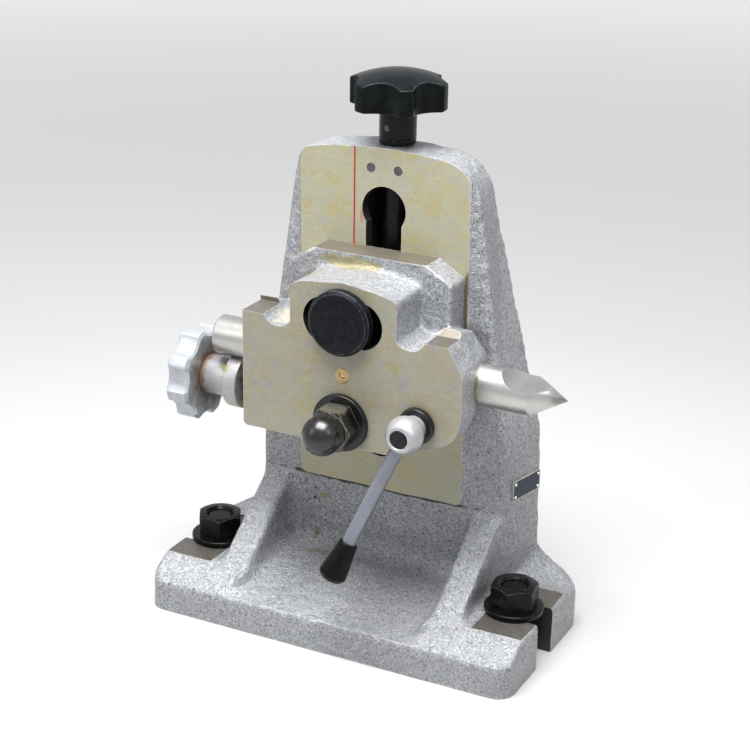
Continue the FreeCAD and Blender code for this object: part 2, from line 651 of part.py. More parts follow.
def head_front_outline(name):
    """Outline of the head's front: square at the left, bevelled at the right."""
    return outline(name, "XZ", [
        (-z.head_left, z.head_top), (-z.head_left, z.head_bottom + z.left_corner_rise),
        (-z.head_left + z.left_corner, z.head_bottom), (z.head_right - z.bevel_start, z.head_bottom),
        (z.head_right - z.bevel_end, z.head_bottom + z.bevel_rise),
        (z.head_right, z.head_bottom + z.side_start), (z.head_right, z.head_top - z.shoulder_drop),
        (z.head_right - z.shoulder_inset, z.head_top)])


def head_rear_outline(name):
    """Outline where the block meets the slide: drawn in all round, most of all below the quill."""
    return outline(name, "XZ", [
        (-z.head_left + z.back_left, z.head_top - z.back_top),
        (-z.head_left + z.back_left, z.head_bottom + z.back_left_rise),
        (-z.head_left + z.back_left_toe, z.head_bottom + z.back_low),
        (z.head_right - z.back_toe, z.head_bottom + z.back_low),
        (z.head_right - z.back_bevel, z.head_bottom + z.back_bevel_rise),
        (z.head_right - z.back_side, z.head_bottom + z.side_start),
        (z.head_right - z.back_boss, z.head_top - z.back_boss_drop),
        (z.head_right - z.back_crown, z.head_top - z.back_crown_drop)])


def head_casting():
    """Head: block with the quill bore, brow with the curved slot, and the slide against the column."""
    front = at_depth(head_front_outline("head_block_front"), -z.head_front)
    middle = at_depth(head_front_outline("head_block_middle"), z.head_plate - z.head_front)
    middle_again = at_depth(head_front_outline("head_block_middle_rear"), z.head_plate - z.head_front)
    back = at_depth(head_rear_outline("head_block_back"), z.head_block_back)
    block = skin("head_block", front, middle)
    block_rear = skin("head_block_rear", middle_again, back)
    notches = []
    for side in (-1, 1):
        name = "notch_right" if side > 0 else "notch_left"
        across = side * z.notch_centre
        notches.append(cylinder(name, z.notch_radius, (across, -z.head_front - 1, z.notch_height),
                                z.head_front + z.slide_front + 1, "Y"))
    brow = prism("brow", "XZ", [
        (-z.brow_half, z.head_top - 10), (z.brow_half, z.head_top - 10), (z.brow_half, z.brow_side),
        (z.brow_half * 0.6, z.brow_top - 1.7), (0, z.brow_top), (-z.brow_half * 0.75, z.brow_top - 1.9),
        (-z.brow_half, z.brow_side)], -z.head_front, z.slide_front + 1)
    slide = prism("slide", "XZ", [
        (-z.slide_half, z.head_bottom), (z.slide_half, z.head_bottom), (z.slide_half, z.slide_shoulder),
        (z.land_half, z.slide_top), (-z.land_half, z.slide_top), (-z.slide_half, z.slide_shoulder)],
        z.slide_front, head_back)
    solid = fused("head_solid", cut("head_notched", fused("head_blocks", block, block_rear), *notches),
                  brow, slide)

    half_slot = z.arc_slot_width / 2
    depth = z.head_front + z.face_depth + 4
    start = z.face_depth + 2
    first = 90 - z.arc_slot_half_angle.value
    fan = PLANE["XZ"] * Rotation(Vector(0, 0, 1), first)
    arc_outer = cylinder("arc_outer", z.arc_radius + half_slot, (0, start, z.pivot_height), depth, "Y",
                         angle=2 * z.arc_slot_half_angle, rotation=fan)
    arc_inner = cylinder("arc_inner", z.arc_radius - half_slot, (0, start + 1, z.pivot_height), depth + 2,
                         "Y", rotation=PLANE["XZ"])
    cutters = [cut("arc_band", arc_outer, arc_inner)]
    for side in (-1, 1):
        across = side * z.arc_radius * sine(z.arc_slot_half_angle)
        up = z.pivot_height + z.arc_radius * cosine(z.arc_slot_half_angle)
        cutters.append(cylinder("arc_end_right" if side > 0 else "arc_end_left", half_slot,
                                (across, start - depth, up), depth, "Y"))
    cutters.append(cylinder("quill_bore", z.quill_diameter / 2 + z.running_fit,
                            (-z.head_left - 1, 0, z.centre_height), z.head_left + z.head_right + 2, "X"))
    cutters.append(cylinder("feed_hole", z.feed_diameter / 2 + z.running_fit,
                            (-z.head_left - 1, 0, feed_height), z.head_left + 1 - z.feed_hole_end, "X"))
    cutters.append(cylinder("pivot_bore", z.clamp_bolt_diameter / 2 + z.running_fit,
                            (0, -z.head_front - 1, z.pivot_height), depth, "Y"))
    cutters.append(cylinder("cotter_bore", z.cotter_diameter / 2 + z.running_fit,
                            (z.lock_across, -z.head_front - 1, z.lock_height),
                            z.head_front + z.cotter_bottom + 1.2, "Y"))
    cutters.append(cylinder("oiler_seat", z.oiler_diameter / 2, (0, -z.head_front - 1, z.oiler_height),
                            z.oiler_depth - z.oiler_lip + 1, "Y"))
    cutters.append(cylinder("oil_way", z.oil_hole / 2 + 0.3, (0, -z.head_front, z.oiler_height),
                            z.head_front - z.quill_diameter / 4, "Y"))
    node("head_casting", cut("Head", solid, *cutters))


def oiler():
    """Ball oiler on the head's face: brass cup, steel ball and the spring behind it."""
    face = -z.head_front - z.oiler_lip
    inside = face + z.oiler_depth
    ball_radius = z.oil_ball / 2
    mouth = ball_radius - 0.3
    node("oiler_cup", turned("OilerCup", [
        (face, mouth), (face, z.oiler_diameter / 2 - 0.3), (face + 0.3, z.oiler_diameter / 2),
        (inside, z.oiler_diameter / 2), (inside, ball_radius + 0.15), (face + 0.5, ball_radius + 0.15),
        (face + 0.5, mouth)], "Y", (0, 0, z.oiler_height)))
    sink = root(ball_radius * ball_radius - mouth * mouth)
    centre = face + 0.5 + sink + 0.02
    node("oiler_ball", ball("OilerBall", ball_radius, (0, centre, z.oiler_height)))
    start = centre + ball_radius + z.spring_gap
    coil_radius = ball_radius - z.spring_wire.value / 2 - 0.05
    helix = Part.makeHelix(0.8, z.spring_length.value, coil_radius.value)
    wire = Part.Wire(Part.makeCircle(z.spring_wire.value / 2, Vector(coil_radius.value, 0, 0),
                                     Vector(0, 1, 0)).Edges)
    spring = doc.addObject("Part::Feature", "OilerSpring")
    spring.Shape = Part.Wire(helix.Edges).makePipeShell([wire], True, True)
    spring.Placement = Placement(Vector(0, start.value, z.oiler_height.value), TURN["Y"])
    node("oiler_spring", spring)


def quill():
    """Ground quill whose point is a relieved 60 degree centre, notched below for the feed flange."""
    radius = z.quill_diameter / 2
    half_point = z.point_angle / 2
    cone = radius * cosine(half_point) / sine(half_point)
    blank = turned("quill_blank", [
        (-z.quill_left, 0), (-z.quill_left, radius - 0.8), (-z.quill_left + 0.8, radius),
        (z.quill_tip - cone, radius), (z.quill_tip, 0)], "X", (0, 0, z.centre_height))
    slack = z.running_fit * 3
    notch = box("quill_notch", (-z.flange_outer - slack, -radius - 1, z.centre_height - radius - 1),
                (-z.flange_outer + z.flange_thickness + slack, radius + 1,
                 z.centre_height - radius + z.flange_bite + slack))
    relief = doc.addObject("Part::Box", "quill_relief")
    bind(relief, "Length", z.quill_tip - z.relief_start)
    bind(relief, "Width", z.quill_diameter * 2)
    bind(relief, "Height", radius)
    lean = z.relief_lean
    relief.Placement = Placement(Vector(), Rotation(Vector(1, 0, 0), 1))
    bind(relief, "Placement.Rotation.Angle", lean)
    shift_y = -radius * 2 * cosine(lean) - z.relief_height * sine(lean)
    shift_z = -radius * 2 * sine(lean) + z.relief_height * cosine(lean)
    for letter, amount in zip("xyz", (z.relief_start, shift_y, z.centre_height + shift_z)):
        bind(relief, f"Placement.Base.{letter}", amount)
    node("quill", cut("Quill", blank, notch, relief))


def feed():
    """Feed screw with the flange that carries the quill, its star knob and the knob's cap screw."""
    radius = z.feed_diameter / 2
    inner = -z.flange_outer + z.flange_thickness
    flange = z.flange_diameter / 2
    knob_outer = -z.feed_knob_inner - z.feed_knob_thickness
    spigot = radius - 1
    hub = z.feed_hub_diameter / 2
    centre = (0, 0, feed_height)
    screw = turned("feed_blank", [
        (-z.feed_end, 0), (-z.feed_end, radius - 1), (-z.feed_end - 1, radius), (inner, radius),
        (inner, flange - 1), (inner - 1, flange), (-z.flange_outer + 1, flange),
        (-z.flange_outer, flange - 1), (-z.flange_outer, hub), (-z.feed_knob_inner, hub),
        (-z.feed_knob_inner, spigot), (knob_outer, spigot), (knob_outer, 0)], "X", centre)
    thread = z.feed_cap_diameter / 4
    tapped = cylinder("feed_tapping", thread, (knob_outer, 0, feed_height), z.feed_tap_depth, "X")
    node("feed_screw", cut("FeedScrew", screw, tapped))
    star = star_knob("FeedStar", z.feed_knob_diameter, z.feed_knob_lobes, z.feed_knob_scallop,
                     z.feed_knob_bite, z.feed_knob_thickness)
    star.Placement = Placement(Vector(), Rotation(Vector(1, 0, 0), FEED_TURN) * TURN["X"])
    for letter, amount in zip("xyz", (knob_outer, zero, feed_height)):
        bind(star, f"Placement.Base.{letter}", amount)
    bore = cylinder("feed_knob_bore", spigot, (knob_outer - 1, 0, feed_height),
                    z.feed_knob_thickness + 2, "X")
    node("feed_knob", cut("FeedKnob", star, bore))
    cap = z.feed_cap_diameter / 2
    node("feed_cap_screw", turned("FeedCap", [
        (knob_outer - z.feed_cap_height, 0), (knob_outer - z.feed_cap_height, cap - 1),
        (knob_outer - z.feed_cap_height + 1, cap), (knob_outer, cap), (knob_outer, thread),
        (knob_outer + 7, thread), (knob_outer + 7, 0)], "X", centre))


def quill_lock():
    """Split cotter that grips the quill, its screw and collar, and the ball lever that turns it."""
    radius = z.lock_screw_diameter / 2
    cotter = z.cotter_diameter / 2
    centre = (z.lock_across, 0, z.lock_height)
    front_face = -z.head_front - z.cotter_proud
    scallop_radius = z.quill_diameter / 2 + z.running_fit
    halves = (("lock_cotter_front", "CotterFront", front_face, -z.cotter_split, z.hole_clearance),
              ("lock_cotter_rear", "CotterRear", z.cotter_split, z.cotter_bottom, z.running_fit))
    for label, name, first, last, clearance in halves:
        sleeve = turned(name + "_blank", [
            (first, radius + clearance), (first, cotter), (last, cotter), (last, radius + clearance)],
            "Y", centre)
        scallop = cylinder(name + "_scallop", scallop_radius, (0, 0, z.centre_height), half_length, "X")
        node(label, cut(name, sleeve, scallop))
    collar_front = front_face - z.sliding_gap - z.collar_thickness
    node("lock_collar", turned("LockCollar", [
        (collar_front, radius + z.running_fit), (collar_front, z.collar_diameter / 2 - 0.5),
        (collar_front + 0.5, z.collar_diameter / 2), (front_face - z.sliding_gap, z.collar_diameter / 2),
        (front_face - z.sliding_gap, radius + z.running_fit)], "Y", centre))
    hub_centre = -z.hub_depth
    hub_radius = z.hub_diameter / 2
    seat = hub_centre - z.hub_flat + z.hub_cap_height
    screw_end = hub_centre - 1
    tap = radius / 2
    lock_screw = turned("lock_screw_blank", [
        (screw_end, 0), (screw_end, radius), (z.cotter_bottom - 0.5, radius), (z.cotter_bottom - 0.5, 0)],
        "Y", centre)
    tapping = cylinder("lock_screw_tapping", tap, (z.lock_across, screw_end, z.lock_height), as_size(6), "Y")
    node("lock_screw", cut("LockScrew", lock_screw, tapping))

    def hub_cylinder(name, size, first, last):
        return cylinder(name, size, (z.lock_across, first, z.lock_height), last - first, "Y")

    sphere = ball("hub_ball", hub_radius, (z.lock_across, hub_centre, z.lock_height))
    trim = hub_cylinder("hub_trim", hub_radius + 1, hub_centre - z.hub_flat, hub_centre + hub_radius + 1)
    neck = hub_cylinder("hub_neck_bar", z.hub_neck / 2, hub_centre, collar_front)
    solid = fused("hub_solid", shared("hub_trimmed", sphere, trim), neck)
    holes = [hub_cylinder("hub_bore", radius, screw_end, collar_front + 1),
             hub_cylinder("hub_tapping", tap, seat - 1, screw_end + 1),
             hub_cylinder("hub_seat", z.hub_cap_diameter / 2 + 0.1, hub_centre - hub_radius, seat)]
    swing, rake = z.arm_swing, z.arm_rake
    level = math.radians(z.arm_rake.value)
    lean = math.radians(z.arm_swing.value)
    away = Vector(-math.sin(lean) * math.cos(level), -math.sin(level), -math.cos(lean) * math.cos(level))
    turn = Rotation(Vector(0, 0, 1), away)

    def along(distance):
        """Point on the arm's axis, this far from the ball's centre."""
        reach = as_size(distance)
        return (z.lock_across - reach * sine(swing) * cosine(rake), hub_centre - reach * sine(rake),
                z.lock_height - reach * cosine(swing) * cosine(rake))

    arm_radius = z.arm_diameter / 2
    arm_start = hub_radius - z.arm_seat
    holes.append(cylinder("hub_arm_hole", arm_radius, along(arm_start), z.arm_seat + 2, "Z", rotation=turn))
    node("lever_hub", cut("LeverHub", solid, *holes))
    node("lever_arm", cylinder("LeverArm", arm_radius, along(arm_start),
                               z.arm_length - z.grip_length * 0.35 - arm_start, "Z", rotation=turn))
    cap_front = hub_centre - z.hub_flat - 0.2
    node("hub_cap_screw", turned("HubCap", [
        (cap_front, 0), (cap_front, z.hub_cap_diameter / 2 - 0.5), (cap_front + 0.5, z.hub_cap_diameter / 2),
        (seat, z.hub_cap_diameter / 2), (seat, tap), (screw_end + 5, tap), (screw_end + 5, 0)], "Y", centre))
    grip = turned("grip_blank", [
        (0, 0), (0, z.grip_small / 2), (z.grip_length - 2.5, z.grip_large / 2),
        (z.grip_length - 0.8, z.grip_large / 2 - 1), (z.grip_length, z.grip_large / 2 - 3),
        (z.grip_length, 0)], "Z", along(z.arm_length - z.grip_length))
    grip.Placement = Placement(grip.Placement.Base, turn)
    socket = cylinder("grip_socket", arm_radius, along(z.arm_length - z.grip_length - 1),
                      z.grip_length * 0.65 + 1, "Z", rotation=turn)
    node("lever_grip", cut("LeverGrip", grip, socket))


def nameplate():
    """Blank plate riveted to the side of the column."""
    half_long, half_wide = z.plate_length / 2, z.plate_width / 2
    back = z.rear_start.value - z.plate_height.value * math.tan(math.radians(z.rear_tilt.value))
    flare = (z.rear_foot - z.front_foot) / (as_size(back) - z.face_depth)
    angle = math.degrees(math.atan(flare.value))
    turn = Rotation(Vector(0, 0, 1), -angle)
    across = z.front_foot + flare * (z.plate_depth - z.face_depth)

    def held(item, out):
        item.Placement = Placement(Vector(), turn)
        for letter, amount in zip("xyz", (across + out, z.plate_depth, z.plate_height)):
            bind(item, f"Placement.Base.{letter}", amount)
        return item

    slab = doc.addObject("Part::Box", "plate_slab")
    bind(slab, "Length", z.plate_thickness)
    bind(slab, "Width", z.plate_length)
    bind(slab, "Height", z.plate_width)
    for letter, amount in zip("xyz", (zero, -half_long, -half_wide)):
        bind(slab, f"Placement.Base.{letter}", amount)
    shanks, rivets = [], []
    for number, (a, b) in enumerate(((-1, -1), (1, -1), (-1, 1), (1, 1))):
        y, up = a * (half_long - z.rivet_inset), b * (half_wide - z.rivet_inset)
        shanks.append(cylinder(f"plate_hole_{number}", z.rivet_diameter / 4, (as_size(-1), y, up),
                               z.plate_thickness + 2, "X"))
        rivets.append(turned(f"rivet_{number}", [
            (0, 0), (0, z.rivet_diameter / 4), (z.plate_thickness, z.rivet_diameter / 4),
            (z.plate_thickness, z.rivet_diameter / 2), (z.plate_thickness + z.rivet_head * 0.6,
                                                        z.rivet_diameter / 2 - 0.15),
            (z.plate_thickness + z.rivet_head, z.rivet_diameter / 4), (z.plate_thickness + z.rivet_head, 0)],
            "X", (0, y, up)))
    node("nameplate", held(cut("Nameplate", slab, *shanks), z.sliding_gap))
    group = doc.addObject("Part::Compound", "Rivets")
    group.Links = rivets
    node("nameplate_rivets", held(group, z.sliding_gap))


def hold_down():
    """Stud, washer and hexagon nut in each end slot."""
    kinds = {"hold_down_studs": [], "hold_down_washers": [], "hold_down_nuts": []}
    radius = z.stud_diameter / 2
    for name, side in (("left", -1), ("right", 1)):
        across = side * z.bolt_spread / 2
        centre = (across, 0, 0)
        top = nut_face + z.hold_nut_height - z.stud_recess
        kinds["hold_down_studs"].append(turned("stud_" + name, [
            (0.3, 0), (0.3, radius - 1), (1.3, radius), (top - 1, radius), (top, radius - 1), (top, 0)],
            "Z", centre))
        kinds["hold_down_washers"].append(turned("hold_washer_" + name, [
            (z.pad_height, radius + z.hole_clearance), (z.pad_height, z.hold_washer_diameter / 2),
            (nut_face - 0.5, z.hold_washer_diameter / 2), (nut_face, z.hold_washer_diameter / 2 - 0.5),
            (nut_face, radius + z.hole_clearance)], "Z", centre))
        corners = [(b + across, a) for a, b in hexagon(z.hold_nut_flats)]
        hexa = prism("hex_" + name, "XY", corners, nut_face, nut_face + z.hold_nut_height)
        edge = z.hold_nut_flats / 2
        trim = turned("hex_trim_" + name, [
            (nut_face, 0), (nut_face, edge + 2), (nut_face + z.hold_nut_height - 1.2, edge + 2),
            (nut_face + z.hold_nut_height, edge - 0.3), (nut_face + z.hold_nut_height, 0)], "Z", centre)
        hole = cylinder("hex_hole_" + name, radius, (across, 0, nut_face - 1), z.hold_nut_height + 2, "Z")
        kinds["hold_down_nuts"].append(cut("nut_" + name, shared("hex_body_" + name, hexa, trim), hole))
    for label, pieces in kinds.items():
        group = doc.addObject("Part::Compound", label.title().replace("_", ""))
        group.Links = pieces
        node(label, group)


for build_piece in (base_casting, neck_pins, elevating_screw, lifting_block, arc_bolt, clamp_bolt,
                    head_casting, oiler, quill, feed, quill_lock, nameplate, hold_down):
    build_piece()
doc.recompute()

broken = [item.Name for item in doc.Objects if {"Invalid", "Error"} & set(item.State)]
if broken:
    raise SystemExit(f"objects that failed: {broken}")
os.makedirs("parts", exist_ok=True)
for item in NODES:
    shape = item.Shape
    if shape.isNull() or not shape.isValid() or not shape.Solids:
        raise SystemExit(f"{item.Label} has no valid solid")
for item in NODES:
    item.Shape.exportStep(f"parts/{item.Label}.step")
    volume = sum(solid.Volume for solid in item.Shape.Solids)
    print(f"{item.Label}: {len(item.Shape.Solids)} solid, {volume:.1f} mm3")
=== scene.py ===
"""Looks of the tilting tailstock: painted iron castings with machined faces, blackened and bright fittings.

Sizes are in millimetres until a mesh is made, in the row frame: +X along the quill, +Y to the back, +Z up.
"""
import math

import bmesh
import bpy
import numpy as np
from mathutils import Matrix, Vector


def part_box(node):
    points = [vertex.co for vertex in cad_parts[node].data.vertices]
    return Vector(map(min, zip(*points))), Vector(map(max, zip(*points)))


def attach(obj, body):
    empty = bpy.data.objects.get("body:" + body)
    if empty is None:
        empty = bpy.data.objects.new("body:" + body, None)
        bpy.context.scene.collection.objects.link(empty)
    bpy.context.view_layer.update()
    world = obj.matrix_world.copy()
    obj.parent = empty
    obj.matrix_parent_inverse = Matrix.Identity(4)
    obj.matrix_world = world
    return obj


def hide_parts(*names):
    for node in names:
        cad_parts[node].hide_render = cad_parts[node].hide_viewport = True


MM = 0.001
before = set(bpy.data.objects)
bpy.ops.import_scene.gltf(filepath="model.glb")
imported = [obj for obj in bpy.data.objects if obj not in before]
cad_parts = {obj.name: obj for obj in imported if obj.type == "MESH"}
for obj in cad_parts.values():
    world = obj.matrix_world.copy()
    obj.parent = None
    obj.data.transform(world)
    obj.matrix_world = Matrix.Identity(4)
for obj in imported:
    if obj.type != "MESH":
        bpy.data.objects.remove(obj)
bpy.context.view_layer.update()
scene = bpy.context.scene

# Room
# A pale sweep under and behind the tailstock, with broad soft lamps above and to both sides. The camera
# stands to the right and above, as in the photograph.
BACK_TURN, BACK_RISE, ROLL = math.radians(26.705), math.radians(21.382), math.radians(0.859)
EYE = Vector((347.126, -679.613, 416.516))
backward = Vector((math.sin(BACK_TURN) * math.cos(BACK_RISE), -math.cos(BACK_TURN) * math.cos(BACK_RISE),
                   math.sin(BACK_RISE)))
level = Vector((math.cos(BACK_TURN), math.sin(BACK_TURN), 0))
upward = backward.cross(level)
across = math.cos(ROLL) * level + math.sin(ROLL) * upward
upward = math.cos(ROLL) * upward - math.sin(ROLL) * level

camera = bpy.data.objects.new("camera", bpy.data.cameras.new("camera"))
scene.collection.objects.link(camera)
camera.matrix_world = Matrix.Translation(EYE * MM) @ Matrix((across, upward, backward)).transposed().to_4x4()
camera.data.sensor_width = 36
camera.data.lens = 90.167
camera.data.clip_end = 20
scene.camera = camera
scene.view_settings.view_transform = "Standard"


def wire(tree, kind, inputs=None, **settings):
    """Add a node, set its properties, and give each input a value or the socket that feeds it."""
    node = tree.nodes.new(kind)
    for key, value in settings.items():
        setattr(node, key, value)
    for key, value in (inputs or {}).items():
        if isinstance(value, bpy.types.NodeSocket):
            tree.links.new(value, node.inputs[key])
        else:
            node.inputs[key].default_value = value
    return node


def sums(tree, operation, first, second=0.5, third=0.0):
    """A Math node's result."""
    return wire(tree, "ShaderNodeMath", {0: first, 1: second, 2: third}, operation=operation).outputs[0]


def times(tree, first, second):
    return sums(tree, "MULTIPLY", first, second)


def plus(tree, first, second):
    return sums(tree, "ADD", first, second)


def minus(tree, first, second):
    return sums(tree, "SUBTRACT", first, second)


def vectors(tree, operation, first, second=(0, 0, 0)):
    """A Vector Math node."""
    return wire(tree, "ShaderNodeVectorMath", {0: first, 1: second}, operation=operation).outputs


def paint(name):
    """A new material with its shader, its tree and its Object coordinates."""
    material = bpy.data.materials.new(name)
    material.use_nodes = True
    tree = material.node_tree
    shader = tree.nodes["Principled BSDF"]
    place = wire(tree, "ShaderNodeTexCoord").outputs["Object"]
    return material, tree, shader, place


def background_ray(tree):
    """1 for the rays that show the background: the camera's, and those in metal and glass."""
    ray = wire(tree, "ShaderNodeLightPath")
    metal = sums(tree, "MAXIMUM", ray.outputs["Is Glossy Ray"], ray.outputs["Is Transmission Ray"])
    return sums(tree, "MAXIMUM", ray.outputs["Is Camera Ray"], metal)


sweep, tree, shader, place = paint("floor_pale")
shader.inputs["Base Color"].default_value = (0.5, 0.5, 0.5, 1)
shader.inputs["Roughness"].default_value = 0.9
shader.inputs["Specular IOR Level"].default_value = 0.1
away = vectors(tree, "LENGTH", place)["Value"]
fade = wire(tree, "ShaderNodeMapRange", {0: away, 1: 0.4, 2: 1.6, 3: 0.2, 4: 0.68}).outputs[0]
tree.links.new(times(tree, fade, background_ray(tree)), shader.inputs["Emission Strength"])
shader.inputs["Emission Color"].default_value = (1, 1, 1, 1)

room = bpy.data.worlds.new("room")
scene.world = room
room.use_nodes = True
sky = room.node_tree
glow = wire(sky, "ShaderNodeBackground", {"Color": (0.92, 0.93, 0.95, 1), "Strength": 0.15})
wall = wire(sky, "ShaderNodeBackground", {"Color": (0.66, 0.67, 0.69, 1), "Strength": 1.0})
both = wire(sky, "ShaderNodeMixShader", {0: background_ray(sky), 1: glow.outputs[0], 2: wall.outputs[0]})
sky.links.new(both.outputs[0], sky.nodes["World Output"].inputs["Surface"])

ground = bpy.data.meshes.new("floor")
ground.from_pydata([(-6, -6, 0), (6, -6, 0), (6, 6, 0), (-6, 6, 0)], [], [(0, 1, 2, 3)])
floor = bpy.data.objects.new("floor", ground)
scene.collection.objects.link(floor)
floor.location.z = -0.0002
ground.materials.append(sweep)


def lamp(name, spot, aim, size, watts):
    """A square soft lamp at a spot, in metres, turned to a point."""
    light = bpy.data.lights.new(name, "AREA")
    light.shape = "RECTANGLE"
    light.size, light.size_y = size
    light.energy = watts
    holder = bpy.data.objects.new(name, light)
    holder.location = spot
    holder.rotation_euler = (Vector(aim) - Vector(spot)).to_track_quat("-Z", "Y").to_euler()
    scene.collection.objects.link(holder)


lamp("softbox_top", (0.0, -0.16, 0.82), (0, 0, 0.1), (0.6, 0.45), 14)
lamp("softbox_left", (-0.7, -0.75, 0.7), (0, 0, 0.14), (0.4, 0.5), 1.3)
lamp("softbox_right", (0.9, -0.3, 0.8), (0, 0, 0.16), (0.35, 0.5), 1.4)

# Base casting
# Base plate, two hold-down pads, two ribs, the column and its crown, poured as one piece of grey iron.
# Sand-cast skin with soft corners, sprayed with hammered silver-grey paint, then planed and milled: the
# foot, the guiding face, the lands under the washers, the slots and the bores cut through the skin.
PLATE_HALF, PLATE_FRONT, PLATE_REAR, PLATE_TOP, PAD_TOP = 90, -40, 46.5, 15, 22
FACE, FACE_STOCK, FLANK = 16.5, 12.5, 17.7
REAR_START, REAR_TILT = 47.9, math.radians(2.4)
FLANK_FOOT_FRONT, FLANK_FOOT_REAR, BAY_HALF, WEB_INNER, PAD_REAR, ROOT = 61, 67.5, 46, 59, 25, 7
LAND_INNER, LAND_FRONT, LAND_REAR, SLOT_INNER, SLOT_HALF = 65.4, -24.2, 24, 74, 8.5
GUIDE_HALF, GUIDE_LOW, GUIDE_TOP, KEYHOLE_RADIUS, FACE_LOW = 8.6, 81.2, 188, 10.5, 56.4
CHANNEL_HALF, CHANNEL_FRONT, CHANNEL_REAR, CHANNEL_LOW = 10.6, 21.5, 38.7, 69
SCREW_DEEP, JOURNAL_LOW, JOURNAL_RADIUS = 28.8, 198.5, 7
PIN_ACROSS, PIN_UP, PIN_RADIUS, PIN_REAR = 6.45, 206.2, 2.15, 40


def solid(name, corners, faces):
    """A closed mesh from corners in millimetres."""
    mesh = bpy.data.meshes.new(name)
    mesh.from_pydata([Vector(c) * MM for c in corners], [], faces)
    piece = bpy.data.objects.new(name, mesh)
    scene.collection.objects.link(piece)
    tidy = bmesh.new()
    tidy.from_mesh(mesh)
    bmesh.ops.recalc_face_normals(tidy, faces=tidy.faces)
    tidy.to_mesh(mesh)
    tidy.free()
    return piece


def bar(name, outline, plane, first, last, last_outline=None):
    """A prism between two coordinates; the outline lies in the plane of the two named axes."""
    spots = {"XY": lambda a, b, c: (a, b, c), "XZ": lambda a, b, c: (a, c, b),
             "YZ": lambda a, b, c: (c, a, b)}[plane]
    count = len(outline)
    corners = [spots(a, b, first) for a, b in outline]
    corners += [spots(a, b, last) for a, b in last_outline or outline]
    sides = [(i, (i + 1) % count, count + (i + 1) % count, count + i) for i in range(count)]
    return solid(name, corners, sides + [tuple(range(count))[::-1], tuple(range(count, 2 * count))])


def block(name, low, high):
    return bar(name, [(low[0], low[1]), (high[0], low[1]), (high[0], high[1]), (low[0], high[1])],
               "XY", low[2], high[2])


def rod(name, radius, centre, axis, first, last, sides=96):
    """A round bar along an axis; the centre gives its place on the other two."""
    ring = [(centre[0] + radius * math.cos(2 * math.pi * i / sides),
             centre[1] + radius * math.sin(2 * math.pi * i / sides)) for i in range(sides)]
    return bar(name, ring, {"X": "YZ", "Y": "XZ", "Z": "XY"}[axis], first, last)


def softened(corners):
    """An outline of (a, b, radius) corners with each corner turned into an arc of short sides."""
    outline = []
    for i, (a, b, radius) in enumerate(corners):
        spot = Vector((a, b))
        before = (Vector(corners[i - 1][:2]) - spot).normalized()
        after = (Vector(corners[(i + 1) % len(corners)][:2]) - spot).normalized()
        if not radius:
            outline.append((a, b))
            continue
        half = before.angle(after) / 2
        centre = spot + (before + after).normalized() * radius / math.sin(half)
        start = spot + before * radius / math.tan(half) - centre
        swing = start.angle_signed(spot + after * radius / math.tan(half) - centre)
        for step in range(9):
            turn = -swing * step / 8
            outline.append((centre.x + start.x * math.cos(turn) - start.y * math.sin(turn),
                            centre.y + start.x * math.sin(turn) + start.y * math.cos(turn)))
    return outline


def settle(piece):
    """Replace a piece's mesh by the one that its modifiers give."""
    graph = bpy.context.evaluated_depsgraph_get()
    mesh = bpy.data.meshes.new_from_object(piece.evaluated_get(graph))
    piece.modifiers.clear()
    piece.data = mesh
    return piece


def coat(piece, material):
    """Give a piece one material."""
    piece.data.materials.clear()
    piece.data.materials.append(material)
    return piece


def machine(piece, tool, operation="DIFFERENCE"):
    """Cut a piece with a tool, which leaves its own finish on the cut, and remove the tool."""
    step = piece.modifiers.new("cut", "BOOLEAN")
    step.object, step.operation, step.solver, step.material_mode = tool, operation, "MANIFOLD", "TRANSFER"
    settle(piece)
    bpy.data.objects.remove(tool)
    return piece


def cast(name, lumps, grain, rounds, wander):
    """Join rough lumps into one skin, melt its edges, and let the sand move it a little."""
    bpy.ops.object.select_all(action="DESELECT")
    for lump in lumps:
        lump.select_set(True)
    bpy.context.view_layer.objects.active = lumps[0]
    bpy.ops.object.join()
    piece = lumps[0]
    piece.name = name
    skin = piece.modifiers.new("skin", "REMESH")
    skin.mode, skin.voxel_size = "VOXEL", grain * MM
    settle(piece)
    melt = piece.modifiers.new("melt", "SMOOTH")
    melt.factor, melt.iterations = 0.5, rounds
    sand = bpy.data.textures.new(name + "_sand", "CLOUDS")
    sand.noise_scale, sand.noise_depth = 0.016, 2
    sway = piece.modifiers.new("sand", "DISPLACE")
    sway.texture, sway.strength, sway.mid_level, sway.texture_coords = sand, wander * MM, 0.5, "GLOBAL"
    return settle(piece)


def crisp(piece, degrees=34):
    """Smooth faces with every sharper edge kept."""
    piece.data.polygons.foreach_set("use_smooth", [True] * len(piece.data.polygons))
    piece.data.set_sharp_from_angle(angle=math.radians(degrees))
    return piece


def dress(piece, body, node):
    """Parent a finished piece to the body it moves with, and hide the CAD node that it stands for."""
    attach(piece, body)
    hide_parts(node)


def crown(half):
    """Top of the column's outline at a distance from its middle."""
    return 215.3 - 203 + math.sqrt(203 ** 2 - half ** 2)


def column_outline(foot, head):
    corner = head + 1.6
    side = [(foot, 7.5, 0), (foot, 89, 60), (corner, crown(corner), 20)]
    top = [(x, crown(x), 0) for x in (28, 14, 0, -14, -28)]
    return softened(side + top + [(-corner, crown(corner), 6), (-foot, 89, 60), (-foot, 7.5, 0)])


def web(side, end, knee, crest):
    """A gusset's outline, by its heights at the plate's end, at the knee and at the rib."""
    return [(side * WEB_INNER, ROOT), (side * PLATE_HALF, ROOT), (side * PLATE_HALF, end),
            (side * (WEB_INNER + 4), knee), (side * WEB_INNER, crest)]


